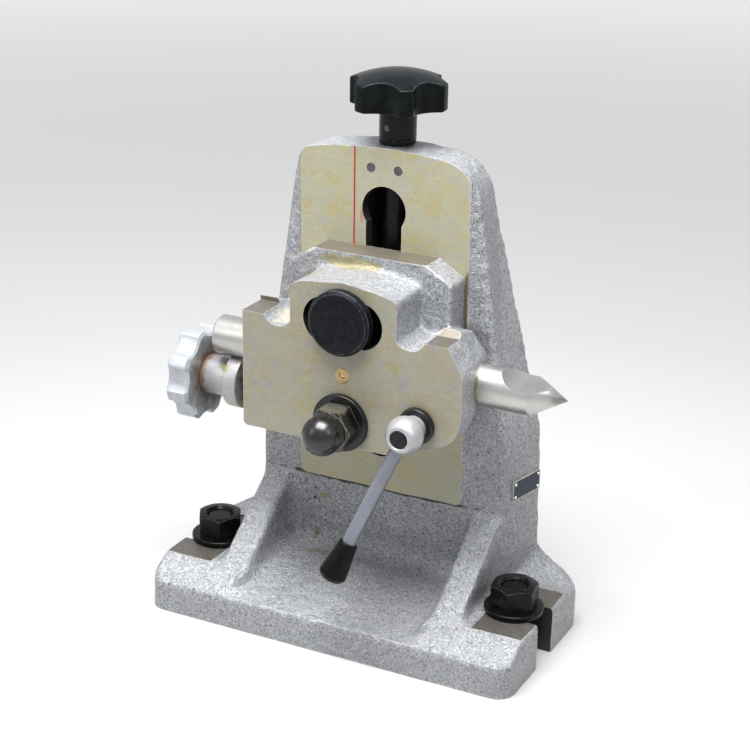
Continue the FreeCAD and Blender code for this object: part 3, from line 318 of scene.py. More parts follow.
front = column_outline(FLANK_FOOT_FRONT, 41.2)
rear = column_outline(FLANK_FOOT_REAR, 37)
corners = [(x, FLANK, up) for x, up in front]
corners += [(x, REAR_START - math.sin(REAR_TILT) * up, math.cos(REAR_TILT) * up) for x, up in rear]
count = len(front)
column = solid("column", corners,
               [(i, (i + 1) % count, count + (i + 1) % count, count + i) for i in range(count)]
               + [tuple(range(count))[::-1], tuple(range(count, 2 * count))])
shelf = bar("rear_shelf", [(FLANK, ROOT), (PLATE_REAR, ROOT), (PLATE_REAR, PAD_TOP), (FLANK, PAD_TOP)],
            "YZ", -BAY_HALF, BAY_HALF)
face_pad = bar("face_pad", front, "XZ", FACE_STOCK, FLANK + 4)
machine(face_pad, block("face_limits", (-40, 0, 57.5), (40, 60, 240)), "INTERSECT")

plate_outline = softened([(-PLATE_HALF, PLATE_FRONT, 8), (PLATE_HALF, PLATE_FRONT, 8),
                          (PLATE_HALF, PLATE_REAR, 12), (-PLATE_HALF, PLATE_REAR, 12)])
plate = bar("plate", plate_outline, "XY", -3, PLATE_TOP)
for side in (-1, 1):
    hollow = softened([(side * 18, 12, 5), (side * 58.5, 12, 5), (side * 58.5, 89, 0),
                       (side * 32.8, 195.3, 5), (side * 18, 195.3, 5)])
    for lump in (column, shelf, plate):
        machine(lump, bar("core", hollow, "XZ", FLANK + 12, 70))
lumps = [column, face_pad, shelf, plate]
for side in (-1, 1):
    inner, outer = sorted((side * BAY_HALF, side * PLATE_HALF))
    pad = bar("pad", [(-38, ROOT), (PAD_REAR, ROOT), (PAD_REAR, PAD_TOP), (-25, PAD_TOP), (-38, PLATE_TOP)],
              "YZ", inner, outer)
    lumps.append(machine(pad, bar("corners", plate_outline, "XY", 0, 60), "INTERSECT"))
    inner, outer = sorted((side * BAY_HALF, side * (WEB_INNER + 1)))
    lumps.append(bar("rib", [(-33.5, ROOT), (20, ROOT), (20, 55.8), (FLANK, 55), (-33.5, 15.5)],
                     "YZ", inner, outer))
    gusset = bar("gusset", web(side, PAD_TOP, PAD_TOP + 0.5, PAD_TOP + 0.5), "XZ", PAD_REAR - 0.5, PLATE_REAR,
                 web(side, 15.5, 34.5, 35.5))
    lumps.append(machine(gusset, bar("corners", plate_outline, "XY", 0, 60), "INTERSECT"))
bay = BAY_HALF + 1
lumps.append(bar("bay_floor", [(-38, ROOT), (20, ROOT), (20, 23), (-38, 15)], "YZ", -bay, bay))
lumps.append(bar("bay_heel", [(FLANK + 1, 20), (FLANK - 6, 20), (FLANK - 6, 21.5), (FLANK - 2, 24.5),
                              (FLANK, 29), (FLANK + 1, 29)], "YZ", -bay, bay))
for side in (-1, 1):
    wedge = [(side * bay, 12), (side * 40, 12), (side * 40, 15), (side * 44.5, 17.5), (side * BAY_HALF, 22),
             (side * bay, 22)]
    lumps.append(bar("bay_side", wedge, "XZ", -34, 20, [(x, up + 8) for x, up in wedge]))
    bay_corner = [(side * bay, FLANK + 1), (side * bay, FLANK - 5), (side * BAY_HALF, FLANK - 5),
                  (side * 44.5, FLANK - 1.5), (side * 41, FLANK), (side * 41, FLANK + 1)]
    lumps.append(bar("bay_corner", bay_corner, "XY", 18, 50))
lumps.append(bar("screw_rib", [(25, 15), (PLATE_REAR, 15), (PLATE_REAR, 55), (44, 196), (38.5, 203),
                               (25, 203)], "YZ", -15, 15))
base = cast("base_body", lumps, 1.35, 9, 0.7)


def group(name, inputs, outputs):
    """A shader node group with named sockets; gives its tree, its inputs and its outputs."""
    tree = bpy.data.node_groups.new(name, "ShaderNodeTree")
    kinds = {"f": "NodeSocketFloat", "v": "NodeSocketVector", "c": "NodeSocketColor"}
    for title, kind in inputs.items():
        tree.interface.new_socket(title, in_out="INPUT", socket_type=kinds[kind])
    for title, kind in outputs.items():
        tree.interface.new_socket(title, in_out="OUTPUT", socket_type=kinds[kind])
    return tree, wire(tree, "NodeGroupInput").outputs, wire(tree, "NodeGroupOutput").inputs


def noise(tree, place, scale, detail=2.0, rough=0.5, twist=0.0):
    return wire(tree, "ShaderNodeTexNoise", {"Vector": place, "Scale": scale, "Detail": detail,
                                             "Roughness": rough, "Distortion": twist}).outputs["Fac"]


def spread(tree, value, low, high, to_low=0.0, to_high=1.0):
    return wire(tree, "ShaderNodeMapRange", {0: value, 1: low, 2: high, 3: to_low, 4: to_high}).outputs[0]


def blend(tree, factor, first, second):
    return wire(tree, "ShaderNodeMix", {0: factor, 6: first, 7: second}, data_type="RGBA").outputs[2]


worn_edges, ins, outs = group("worn_edges", {"Place": "v", "Width": "f"}, {"Mask": "f"})
round_over = wire(worn_edges, "ShaderNodeBevel", {"Radius": ins["Width"]}, samples=4).outputs[0]
level_face = wire(worn_edges, "ShaderNodeNewGeometry").outputs["Normal"]
agree = vectors(worn_edges, "DOT_PRODUCT", round_over, level_face)["Value"]
edge = spread(worn_edges, agree, 0.995, 0.90)
rubbed = spread(worn_edges, noise(worn_edges, ins["Place"], 420, 3), 0.36, 0.56, 0.25, 1.0)
worn_edges.links.new(times(worn_edges, edge, rubbed), outs["Mask"])

hammered, ins, outs = group("hammered_paint", {"Place": "v"},
                            {"Color": "c", "Roughness": "f", "Height": "f", "Chips": "f"})
flow = noise(hammered, ins["Place"], 520, 3, 0.62, 2.6)
fine = noise(hammered, ins["Place"], 1150, 2, 0.6, 1.0)
broad = noise(hammered, ins["Place"], 30, 3, 0.55)
grain = plus(hammered, times(hammered, flow, 0.55), times(hammered, fine, 0.45))
tone = blend(hammered, spread(hammered, grain, 0.36, 0.60), (0.10, 0.11, 0.125, 1), (0.58, 0.59, 0.61, 1))
tone = blend(hammered, spread(hammered, broad, 0.35, 0.72, 0.0, 0.4), tone, (0.29, 0.295, 0.305, 1))
hammered.links.new(tone, outs["Color"])
hammered.links.new(spread(hammered, grain, 0.35, 0.65, 0.5, 0.3), outs["Roughness"])
swell = noise(hammered, ins["Place"], 210, 2)
hammered.links.new(plus(hammered, grain, times(hammered, swell, 1.6)), outs["Height"])
hammered.links.new(spread(hammered, noise(hammered, ins["Place"], 150, 3), 0.40, 0.60, 0.1, 1.0),
                   outs["Chips"])


def rub(tree, place, colour, width, share, worn):
    """Show the worn colour along sharp edges, as wide as given in millimetres."""
    edge = wire(tree, "ShaderNodeGroup", {"Place": place, "Width": width * MM},
                node_tree=worn_edges).outputs[0]
    return blend(tree, times(tree, edge, share), colour, (*worn, 1))


def lay(tree, shader, colour, rough, metallic, height, strength, deep):
    """Wire a finished colour, roughness and relief into the shader."""
    tree.links.new(colour, shader.inputs["Base Color"])
    tree.links.new(rough, shader.inputs["Roughness"])
    shader.inputs["Metallic"].default_value = metallic
    bump = wire(tree, "ShaderNodeBump", {"Strength": strength, "Distance": deep * MM, "Height": height})
    tree.links.new(bump.outputs[0], shader.inputs["Normal"])


def cast_paint(name, marks):
    """Hammered silver-grey paint: bright flakes in a darker net, over a lightly pitted skin."""
    material, tree, shader, place = paint(name)
    flake = wire(tree, "ShaderNodeGroup", {"Place": place}, node_tree=hammered)
    colour = rub(tree, place, flake.outputs["Color"], 0.9, flake.outputs["Chips"], (0.85, 0.85, 0.83))
    colour = stains_and_painted_light(tree, place, colour, marks)
    lay(tree, shader, colour, flake.outputs["Roughness"], 0.35, flake.outputs["Height"], 1.0, 0.8)
    return material


patch, ins, outs = group("patch", {"Place": "v", "Centre": "v", "Reach": "v", "Break Up": "f"}, {"Mask": "f"})
offset = vectors(patch, "SUBTRACT", ins["Place"], ins["Centre"])[0]
away = vectors(patch, "LENGTH", vectors(patch, "DIVIDE", offset, ins["Reach"])[0])["Value"]
ragged = times(patch, minus(patch, noise(patch, ins["Place"], 260, 3), 0.5),
              ins["Break Up"])
patch.links.new(spread(patch, plus(patch, away, ragged), 1.0, 0.72), outs["Mask"])


def stains_and_painted_light(tree, place, colour, marks):
    """Lay ragged patches over a colour, stains and in places painted shade and painted reflection: (tint,
    centre, reach, raggedness, strength), in millimetres.
    """
    for tint, centre, reach, ragged, strength in marks:
        mark = wire(tree, "ShaderNodeGroup", {
            "Place": place, "Centre": [c * MM for c in centre], "Reach": [r * MM for r in reach],
            "Break Up": ragged}, node_tree=patch).outputs["Mask"]
        colour = blend(tree, times(tree, mark, strength), colour, (*tint, 1))
    return colour


ground_face, ins, outs = group("ground_face", {"Place": "v", "Tone": "c", "Varnish": "c", "Bloom": "c"},
                               {"Color": "c", "Roughness": "f", "Height": "f"})
streaks = wire(ground_face, "ShaderNodeMapping", {"Vector": ins["Place"], "Scale": (70, 70, 1500)},
               vector_type="POINT").outputs[0]
line = wire(ground_face, "ShaderNodeTexNoise", {"Vector": streaks, "Scale": 1.0, "Detail": 2}).outputs["Fac"]
cloud = noise(ground_face, ins["Place"], 70, 6, 0.75, 1.2)
bloom = noise(ground_face, ins["Place"], 110, 5, 0.75, 2.0)
speck = noise(ground_face, ins["Place"], 700, 2)
tone = blend(ground_face, spread(ground_face, cloud, 0.47, 0.62, 0.0, 0.8), ins["Tone"],
             ins["Varnish"])
tone = blend(ground_face, spread(ground_face, bloom, 0.53, 0.62, 0.0, 0.8), tone, ins["Bloom"])
dull = spread(ground_face, plus(ground_face, line, speck), 0.7, 1.3, 0.93, 1.06)
tone = wire(ground_face, "ShaderNodeVectorMath", {0: tone, "Scale": dull}, operation="SCALE").outputs[0]
ground_face.links.new(tone, outs["Color"])
ground_face.links.new(spread(ground_face, cloud, 0.3, 0.7, 0.50, 0.38), outs["Roughness"])
ground_face.links.new(plus(ground_face, line, times(ground_face, speck, 0.4)),
                      outs["Height"])


def scribed(tree, place, colour):
    """Red line scribed down the guiding face, left of the middle."""
    part = wire(tree, "ShaderNodeSeparateXYZ", {0: place}).outputs
    off_line = sums(tree, "ABSOLUTE", minus(tree, part["X"], -14.3 * MM))
    line = times(tree, spread(tree, off_line, 0.45 * MM, 0.3 * MM),
                 sums(tree, "GREATER_THAN", part["Z"], 150 * MM))
    return blend(tree, line, colour, (0.42, 0.008, 0.014, 1))


def machined(name, tone, varnish, bloom, metallic, marks=(), line=None):
    """Bare machined iron under a thin varnish."""
    material, tree, shader, place = paint(name)
    skin = wire(tree, "ShaderNodeGroup", {"Place": place, "Tone": (*tone, 1), "Varnish": (*varnish, 1),
                                          "Bloom": (*bloom, 1)}, node_tree=ground_face)
    colour = skin.outputs["Color"]
    if line:
        colour = line(tree, place, colour)
    colour = stains_and_painted_light(tree, place, colour, marks)
    colour = rub(tree, place, colour, 0.4, 0.8, (0.85, 0.84, 0.79))
    lay(tree, shader, colour, skin.outputs["Roughness"], metallic, skin.outputs["Height"], 0.12, 0.2)
    return material


# Oil in the bay's left corner, painted shade for two pits, and painted shade along the ragged paint edge
# under the guiding face
bay_marks = [((0.20, 0.17, 0.055), (-33, 12, 27), (4, 7, 3.2), 1.5, 0.75),
             ((0.24, 0.21, 0.09), (-27, 8, 23), (6, 4, 2.2), 1.5, 0.75),
             ((0.33, 0.29, 0.08), (-30, 17, 46), (2.2, 3, 1.6), 1.5, 0.75),
             # Painted shade: two near-black spots for pits that the mesh does not have
             ((0.01, 0.01, 0.01), (-33.5, 17, 49), (0.8, 2, 1.0), 0.8, 1.0),
             ((0.01, 0.01, 0.01), (-34, 17, 44), (0.8, 2, 1.0), 0.8, 1.0),
             # Painted shade along the step and ragged paint edge under the guiding face
             ((0.045, 0.034, 0.024), (0, 17, 56.6), (60, 3, 1.5), 1.3, 0.9)]
# Brown painted shade in the gap along the face's right edge beside the slide, and a smear of the line's red
# at the keyhole's left lip
face_marks = [((0.10, 0.07, 0.04), (40, 16.5, 152), (1.6, 4, 18), 0.9, 0.85),
              ((0.55, 0.14, 0.11), (-10.6, 16.5, 184.5), (0.9, 4, 5), 1.2, 0.7)]
base_paint = cast_paint("cast_paint_base", bay_marks)
face_iron = machined("guiding_face", (0.435, 0.43, 0.31), (0.45, 0.385, 0.185), (0.42, 0.38, 0.37), 0.15,
                     face_marks, scribed)
land_iron = machined("milled_land", (0.115, 0.108, 0.098), (0.15, 0.13, 0.09), (0.17, 0.16, 0.15), 0.45)
bore_iron = machined("bored_iron", (0.05, 0.048, 0.045), (0.06, 0.05, 0.035), (0.05, 0.05, 0.05), 0.5)

coat(base, base_paint)
tools = [(block("foot_plane", (-120, -80, -10), (120, 80, 0)), face_iron),
         (block("face_plane", (-44, -10, FACE_LOW), (44, FACE, 240)), face_iron)]
for side in (-1, 1):
    land = sorted((side * LAND_INNER, side * (PLATE_HALF + 10)))
    slot = sorted((side * SLOT_INNER, side * (PLATE_HALF + 10)))
    tools += [(block("land", (land[0], LAND_FRONT, PAD_TOP - 0.35), (land[1], LAND_REAR, PAD_TOP + 6)),
               land_iron),
              (block("end_slot", (slot[0], -SLOT_HALF, -2), (slot[1], SLOT_HALF, 40)), bore_iron),
              (rod("end_slot_end", SLOT_HALF, (side * SLOT_INNER, 0), "Z", -2, 40), bore_iron),
              (rod("pin_hole", PIN_RADIUS, (side * PIN_ACROSS, PIN_UP), "Y", 10, 40), bore_iron)]
tools += [(block("guide_slot", (-GUIDE_HALF, 10, GUIDE_LOW), (GUIDE_HALF, 24, GUIDE_TOP)), bore_iron),
          (rod("guide_end", GUIDE_HALF, (0, GUIDE_LOW), "Y", 10, 24), bore_iron),
          (rod("keyhole", KEYHOLE_RADIUS, (0, GUIDE_TOP), "Y", 10, 24), bore_iron),
          (block("channel", (-CHANNEL_HALF, CHANNEL_FRONT, CHANNEL_LOW),
                 (CHANNEL_HALF, CHANNEL_REAR, JOURNAL_LOW)), bore_iron),
          (rod("journal_bore", JOURNAL_RADIUS + 0.05, (0, SCREW_DEEP), "Z", 190, 230), bore_iron)]
for tool, iron in tools:
    machine(base, coat(tool, iron))
dress(crisp(base), "base", "base_casting")

# Neck pins
# Two plain steel pins driven flush through the crown, either side of the screw's neck; turned from bright
# bar.
def lathe(name, profile, axis="Z", centre=(0, 0), sides=96):
    """Turn (height, radius) pairs about an axis; the shape closes on the axis or, as a tube, on itself."""
    spots = {"X": lambda h, a, b: (h, centre[0] + a, centre[1] + b),
             "Y": lambda h, a, b: (centre[0] + a, h, centre[1] + b),
             "Z": lambda h, a, b: (centre[0] + a, centre[1] + b, h)}[axis]
    corners, rings, faces = [], [], []
    for height, radius in profile:
        count = sides if radius > 0 else 1
        rings.append(range(len(corners), len(corners) + count))
        corners += [spots(height, radius * math.cos(2 * math.pi * i / sides),
                          radius * math.sin(2 * math.pi * i / sides)) for i in range(count)]
    pairs = list(zip(rings, rings[1:]))
    if profile[0][1] > 0:
        pairs.append((rings[-1], rings[0]))
    for low, high in pairs:
        for i in range(sides):
            j = (i + 1) % sides
            quad = [low[i % len(low)], low[j % len(low)], high[j % len(high)], high[i % len(high)]]
            faces.append(list(dict.fromkeys(quad)))
    return solid(name, corners, faces)


def geometry(name, sizes):
    """A Geometry Nodes tree with a mesh in, a mesh out and named inputs."""
    tree = bpy.data.node_groups.new(name, "GeometryNodeTree")
    tree.interface.new_socket("Mesh", in_out="INPUT", socket_type="NodeSocketGeometry")
    for title, kind in sizes.items():
        tree.interface.new_socket(title, in_out="INPUT", socket_type="NodeSocket" + kind)
    tree.interface.new_socket("Mesh", in_out="OUTPUT", socket_type="NodeSocketGeometry")
    return tree, wire(tree, "NodeGroupInput").outputs, wire(tree, "NodeGroupOutput").inputs


def finish_off(tree, shape, size, out):
    """End a tree: instances made real, and the piece's material laid on."""
    real = wire(tree, "GeometryNodeRealizeInstances", {"Geometry": shape}).outputs[0]
    dressed = wire(tree, "GeometryNodeSetMaterial", {"Geometry": real, "Material": size["Finish"]})
    tree.links.new(dressed.outputs[0], out["Mesh"])


def off_axis(tree, part):
    """Distance from the Z axis."""
    flat = wire(tree, "ShaderNodeCombineXYZ", {"X": part["X"], "Y": part["Y"]}).outputs[0]
    return vectors(tree, "LENGTH", flat)["Value"]


def reshape(tree, spot, shares, size, out):
    """End a tree that moves each point to a share of its X, Y and Z."""
    scale = wire(tree, "ShaderNodeCombineXYZ", dict(zip("XYZ", shares))).outputs[0]
    moved = vectors(tree, "MULTIPLY", spot, scale)[0]
    shaped = wire(tree, "GeometryNodeSetPosition", {"Geometry": size["Mesh"], "Position": moved}).outputs[0]
    finish_off(tree, shaped, size, out)


def grow(piece, tree, sizes):
    """Run a tree on a piece, with its inputs set by name, and keep the plain mesh that it gives."""
    step = piece.modifiers.new("grow", "NODES")
    step.node_group = tree
    for socket in tree.interface.items_tree:
        if socket.item_type == "SOCKET" and socket.name in sizes:
            step[socket.identifier] = sizes[socket.name]
    return settle(piece)


repeated, size, out = geometry("repeated_fitting",
                               {"Fitting": "Object", "Turn": "Float", "Finish": "Material"})
model = wire(repeated, "GeometryNodeObjectInfo", {"Object": size["Fitting"]}).outputs["Geometry"]
order = wire(repeated, "GeometryNodeInputIndex").outputs[0]
turned = wire(repeated, "ShaderNodeCombineXYZ", {"Z": times(repeated, order, size["Turn"])}).outputs[0]
placed = wire(repeated, "GeometryNodeInstanceOnPoints", {"Points": size["Mesh"], "Instance": model,
                                                         "Rotation": turned}).outputs[0]
finish_off(repeated, placed, size, out)


def repeat(name, fitting, spots, material, turn=0.0):
    """Set a copy of a fitting at each spot, as one piece; every next one is turned a little about Z."""
    piece = solid(name, spots, [])
    grow(piece, repeated, {"Fitting": fitting, "Turn": turn, "Finish": material})
    bpy.data.objects.remove(fitting)
    return crisp(piece)


def metal(name, tone, haze, worn, rough, metallic, grain=240.0, ridge=0.1, width=0.3, wear=1.0, line=None,
          marks=(), gleam=0.5):
    """Metal with a mottled film, fine scratches, and edges that handling has rubbed.

    A line gives (X, Y, Z) scales of turning or grinding marks, and marks lays stains, and in places painted
    shade and painted reflection, on the colour.
    """
    material, tree, shader, place = paint(name)
    film = noise(tree, place, grain, 4, 0.62, 0.4)
    colour = blend(tree, spread(tree, film, 0.36, 0.68), (*tone, 1), (*haze, 1))
    colour = rub(tree, place, colour, width, wear, worn)
    colour = stains_and_painted_light(tree, place, colour, marks)
    scratch = noise(tree, place, 1500, 3, 0.6)
    if line:
        combed = wire(tree, "ShaderNodeMapping", {"Vector": place, "Scale": line},
                      vector_type="POINT").outputs[0]
        scratch = noise(tree, combed, 1.0, 3, 0.6)
    gloss = spread(tree, plus(tree, scratch, film), 0.7, 1.3, rough * 0.78, rough * 1.25)
    lay(tree, shader, colour, gloss, metallic, scratch, ridge, 0.1)
    shader.inputs["Specular IOR Level"].default_value = gleam
    return material


pin_steel = metal("pin_steel", (0.10, 0.10, 0.105), (0.17, 0.17, 0.17), (0.4, 0.4, 0.39), 0.42, 0.9)
pin = lathe("pin", softened([(FACE, 0, 0), (FACE, PIN_RADIUS, 0.35), (PIN_REAR, PIN_RADIUS, 0.3),
                             (PIN_REAR, 0, 0)]),
            "Y", (0, PIN_UP), 40)
pins = repeat("crown_pins", pin, [(-PIN_ACROSS, 0, 0), (PIN_ACROSS, 0, 0)], pin_steel)
dress(pins, "base", "neck_pins")

# Hold-down studs, washers and nuts
# M12 studs from the rotary table's slots, with thick washers and full hexagon nuts. Medium-carbon steel,
# hot-blackened and oiled; the nuts' corners are turned off at 30 degrees on both faces.
BOLT_SPREAD, STUD_RADIUS, STUD_LOW, STUD_TOP, COARSE_PITCH = 75, 6, 0.3, 33.3, 1.75
WASHER_RADIUS, WASHER_THICK, NUT_FLATS, NUT_TALL = 13.25, 2.5, 19, 10
bolt_black = metal("bolt_black", (0.003, 0.003, 0.0032), (0.006, 0.0055, 0.0055), (0.16, 0.155, 0.15), 0.27,
                   0.2, 300, 0.12, 0.36, 1.0, gleam=0.2)

helix, size, out = geometry("screw_thread", {"Pitch": "Float", "Depth": "Float", "First": "Float",
                                                    "Last": "Float", "Finish": "Material"})
spot = wire(helix, "GeometryNodeInputPosition").outputs[0]
part = wire(helix, "ShaderNodeSeparateXYZ", {0: spot}).outputs
round_turn = sums(helix, "DIVIDE", sums(helix, "ARCTAN2", part["Y"], part["X"]), 2 * math.pi)
climb = minus(helix, sums(helix, "DIVIDE", part["Z"], size["Pitch"]), round_turn)
groove = times(helix, sums(helix, "PINGPONG", climb, 0.5), 2.0)
groove = spread(helix, groove, 0.1, 0.85)
above = sums(helix, "GREATER_THAN", part["Z"], size["First"])
below = sums(helix, "LESS_THAN", part["Z"], size["Last"])
bite = times(helix, times(helix, groove, size["Depth"]),
            times(helix, above, below))
reach = sums(helix, "MAXIMUM", off_axis(helix, part), 0.00001)
share = minus(helix, 1.0, sums(helix, "DIVIDE", bite, reach))
reshape(helix, spot, (share, share, 1.0), size, out)


def rings(first, last, radius, pitch):
    """Heights close enough together to carry a thread of this pitch."""
    return [(h, radius) for h in np.linspace(first, last, round(abs(last - first) / pitch * 8) + 1)]


def threaded(piece, pitch, depth, first, last, material):
    """Cut a thread into the stretch of a bar along +Z that has rings for it."""
    return crisp(grow(piece, helix, {"Pitch": pitch * MM, "Depth": depth * MM, "First": first * MM,
                                            "Last": last * MM, "Finish": material}), 50)


def hexagon(name, flats, plane, first, last, centre, trim):
    """A hexagon bar with softly broken corners, its ends turned off by a coned shape."""
    reach = flats / math.sqrt(3)
    turns = [math.radians(60 * i) for i in range(6)]
    outline = softened([(centre[0] + reach * math.cos(t), centre[1] + reach * math.sin(t),
                         0.7) for t in turns])
    return machine(bar(name, outline, plane, first, last), trim, "INTERSECT")


ROOT_GAP = STUD_RADIUS - 0.9
stud = lathe("stud", [(STUD_LOW, 0), (STUD_LOW, ROOT_GAP)]
             + rings(STUD_LOW + 0.9, STUD_TOP - 0.9, STUD_RADIUS, COARSE_PITCH)
             + softened([(STUD_TOP - 0.9, STUD_RADIUS, 0), (STUD_TOP, ROOT_GAP, 0.3), (STUD_TOP, 0, 0)])[1:],
             sides=48)
threaded(stud, COARSE_PITCH, 0.9, STUD_LOW + 1.2, STUD_TOP - 1.2, bolt_black)
spots = [(-BOLT_SPREAD, 0, 0), (BOLT_SPREAD, 0, 0)]
studs = repeat("clamping_studs", stud, spots, bolt_black)
dress(studs, "base", "hold_down_studs")

washer_low, washer_top = PAD_TOP, PAD_TOP + WASHER_THICK
washer = lathe("washer", softened([(washer_low, 6.5, 0.2), (washer_low, WASHER_RADIUS, 0.4),
                                   (washer_top, WASHER_RADIUS, 0.8), (washer_top, 6.5, 0.4)]))
washers = repeat("clamping_washers", washer, spots, bolt_black)
dress(washers, "base", "hold_down_washers")

nut_low, nut_top, corner = washer_top, washer_top + NUT_TALL, NUT_FLATS / math.sqrt(3)
cone = lathe("cone", [(nut_low, 0), (nut_low, NUT_FLATS / 2), (nut_low + 0.85, corner),
                      (nut_top - 0.85, corner), (nut_top, NUT_FLATS / 2), (nut_top, 0)], sides=120)
nut = hexagon("nut", NUT_FLATS, "XY", nut_low, nut_top, (0, 0), cone)
machine(nut, lathe("tapping", [(nut_low - 1, 0), (nut_low - 1, 7.2), (nut_low + 1, 6.05),
                               (nut_top - 1.1, 6.05), (nut_top + 0.4, 7.4), (nut_top + 0.4, 0)], sides=72))
nuts = repeat("clamping_nuts", nut, spots, bolt_black, math.radians(-23.3))
dress(nuts, "base", "hold_down_nuts")

# Nameplate
# Thin anodised aluminium plate with a bare rim, left blank, on the column's right flank. Pressed a little
# hollow and held by four round-headed rivets.
PLATE_LONG, PLATE_WIDE, PLATE_THICK, PLATE_UP, PLATE_DEEP = 20.5, 9.5, 0.6, 66, 33
flare = (FLANK_FOOT_REAR - FLANK_FOOT_FRONT) / (REAR_START - PLATE_UP * math.tan(REAR_TILT) - FACE)
plate_spot = (FLANK_FOOT_FRONT + flare * (PLATE_DEEP - FACE), PLATE_DEEP, PLATE_UP)
on_flank = Matrix.Translation(Vector(plate_spot) * MM) @ Matrix.Rotation(-math.atan(flare), 4, "Z")
tag_metal = metal("tag_aluminium", (0.50, 0.50, 0.44), (0.42, 0.41, 0.33), (0.78, 0.77, 0.70), 0.36, 0.5)
tag_dye = metal("tag_dye", (0.020, 0.030, 0.055), (0.035, 0.045, 0.07), (0.1, 0.1, 0.12), 0.38, 0.1, 300, 0.1,
                gleam=0.3)
rivet_metal = metal("rivet_aluminium", (0.70, 0.70, 0.68), (0.55, 0.55, 0.52), (0.85, 0.85, 0.84), 0.26, 1.0)
half_long, half_wide = PLATE_LONG / 2, PLATE_WIDE / 2
corners = [(a * half_long, b * half_wide, 0.8) for a, b in ((-1, -1), (1, -1), (1, 1), (-1, 1))]
tag = coat(bar("blank_nameplate", softened(corners), "YZ", 0, PLATE_THICK), tag_metal)
machine(tag, coat(bar("hollow", [(a * 0.95, b * 0.9) for a, b, r in corners], "YZ", PLATE_THICK - 0.1, 2),
                  tag_dye))
tag.data.transform(on_flank)
dress(crisp(tag), "base", "nameplate")
rivet = lathe("rivet", softened([(0.1, 0, 0), (0.1, 0.45, 0), (PLATE_THICK, 0.45, 0), (PLATE_THICK, 0.9, 0.1),
                                 (PLATE_THICK + 0.5, 0.75, 0.4), (PLATE_THICK + 0.55, 0, 0)]), "X", sides=28)
inset = 1.7
rivets = repeat("tag_rivets", rivet, [(0, a * (half_long - inset), b * (half_wide - inset))
                                      for a in (-1, 1) for b in (-1, 1)], rivet_metal)
rivets.data.transform(on_flank)
dress(rivets, "base", "nameplate_rivets")

# Head casting
# Iron casting that carries the quill: a thick front plate with two lugs, a brow round the curved slot,
# a rear boss and the slide against the column. Same paint; milled on the front, the lugs and the land.
HEAD_FRONT, HEAD_BACK, LUG_TOP = -21, 16.45, 145.9
PIVOT_UP, ARC_RADIUS, ARC_HALF, ARC_TURN = 103.3, 45.7, 10.5, 10.6
QUILL_UP, QUILL_RADIUS, FEED_UP, CUP_UP, CUP_RADIUS = 124, 9, 103.7, 124.5, 3.0
LOCK_ACROSS, LOCK_UP = 36.2, 109.1
plate_front = softened([(-51, 148.5, 0), (-51, 97.4, 2), (-48, 92.2, 2), (26, 92.2, 8), (52.3, 103.8, 8),
                        (56, 113.2, 8), (56, 134.5, 4), (47.6, 148.5, 0)])
plate_rear = softened([(-46, 141, 0), (-46, 100.2, 2), (-43, 96.2, 2), (24, 96.2, 8), (38, 102.2, 8),
                       (46, 113.2, 8), (53, 132, 6), (45, 142, 0)])
lumps = [bar("plate", plate_front, "XZ", HEAD_FRONT - 2.5, -6),
         bar("plate_rear", plate_front, "XZ", -6.5, 13.5, plate_rear)]
for piece in lumps:
    for side in (-1, 1):
        machine(piece, rod("notch", 8, (side * 31.5, 149.3), "Y", -30, 20, 48))
lumps.append(bar("brow", softened([(-25.3, 136, 0), (25.3, 136, 0), (25.3, 161.5, 3), (15.2, 164.2, 0),
                                   (0, 165.9, 0), (-19, 164, 0), (-25.3, 161.5, 3)]), "XZ", HEAD_FRONT - 2.5,
                                   4))
slide_outline = [(-39, 92.2), (39, 92.2), (39, 163.5), (24.5, 172.6), (-24.5, 172.6), (-39, 163.5)]
lumps.append(bar("slide", slide_outline, "XZ", 3, HEAD_BACK + 2))
head = cast("head_body", lumps, 0.85, 7, 0.5)


# Varnish that ran together behind the brow, and in the left notch
head_stains = [((0.33, 0.29, 0.10), (-10, 2, 167), (17, 5, 3), 1.6, 0.7),
               ((0.36, 0.31, 0.14), (-21, -8, 165), (5, 8, 3), 1.8, 0.45),
               ((0.60, 0.56, 0.40), (-31, -8, 143), (8, 11, 4), 1.2, 0.6)]
# Faint disc where a plug was ground flush, and khaki stains under the left notch and along the foot
head_face_marks = [((0.30, 0.30, 0.31), (29, -21, 125.6), (2.7, 3, 2.4), 0.7, 0.75),
                   ((0.36, 0.31, 0.12), (25, -21, 133), (5, 3, 2.2), 1.6, 0.45),
                   ((0.37, 0.32, 0.13), (-18, -21, 107), (9, 3, 4), 1.8, 0.4),
                   ((0.31, 0.29, 0.24), (-3, -21, 117), (7, 3, 2.5), 1.8, 0.4)]
# Painted reflection of the scribed red line in the slide's land, where the land meets the guiding face
land_line_reflection = [((0.50, 0.09, 0.08), (-14.3, 15.5, 171), (0.7, 1.6, 2), 0.6, 0.7)]
head_paint = cast_paint("cast_paint_head", head_stains)
head_iron = machined("head_face", (0.36, 0.35, 0.275), (0.37, 0.32, 0.17), (0.345, 0.31, 0.32), 0.15,
                     head_face_marks)
lug_iron = machined("lug_face", (0.155, 0.145, 0.13), (0.17, 0.145, 0.10), (0.19, 0.175, 0.165), 0.5)
land_metal = machined("slide_land", (0.155, 0.14, 0.11), (0.14, 0.12, 0.08), (0.19, 0.165, 0.145), 0.35,
                      land_line_reflection)
coat(head, head_paint)
tools = [(block("front_plane", (-70, -40, 80), (70, HEAD_FRONT, 190)), head_iron),
         (block("back_plane", (-70, HEAD_BACK, 80), (70, 40, 190)), head_iron),
         (block("left_plane", (-60, -40, 80), (-48.9, 40, 190)), head_iron),
         (block("left_lug", (-60, -40, LUG_TOP), (-32, -5.5, 160)), lug_iron),
         (bar("right_lug", [(-40, LUG_TOP), (-9, LUG_TOP), (-4, 149), (-4, 160), (-40, 160)], "YZ", 32, 60),
          lug_iron),
         (block("land_plane", (-30, 0, 171), (30, 30, 190)), land_metal)]
band = []
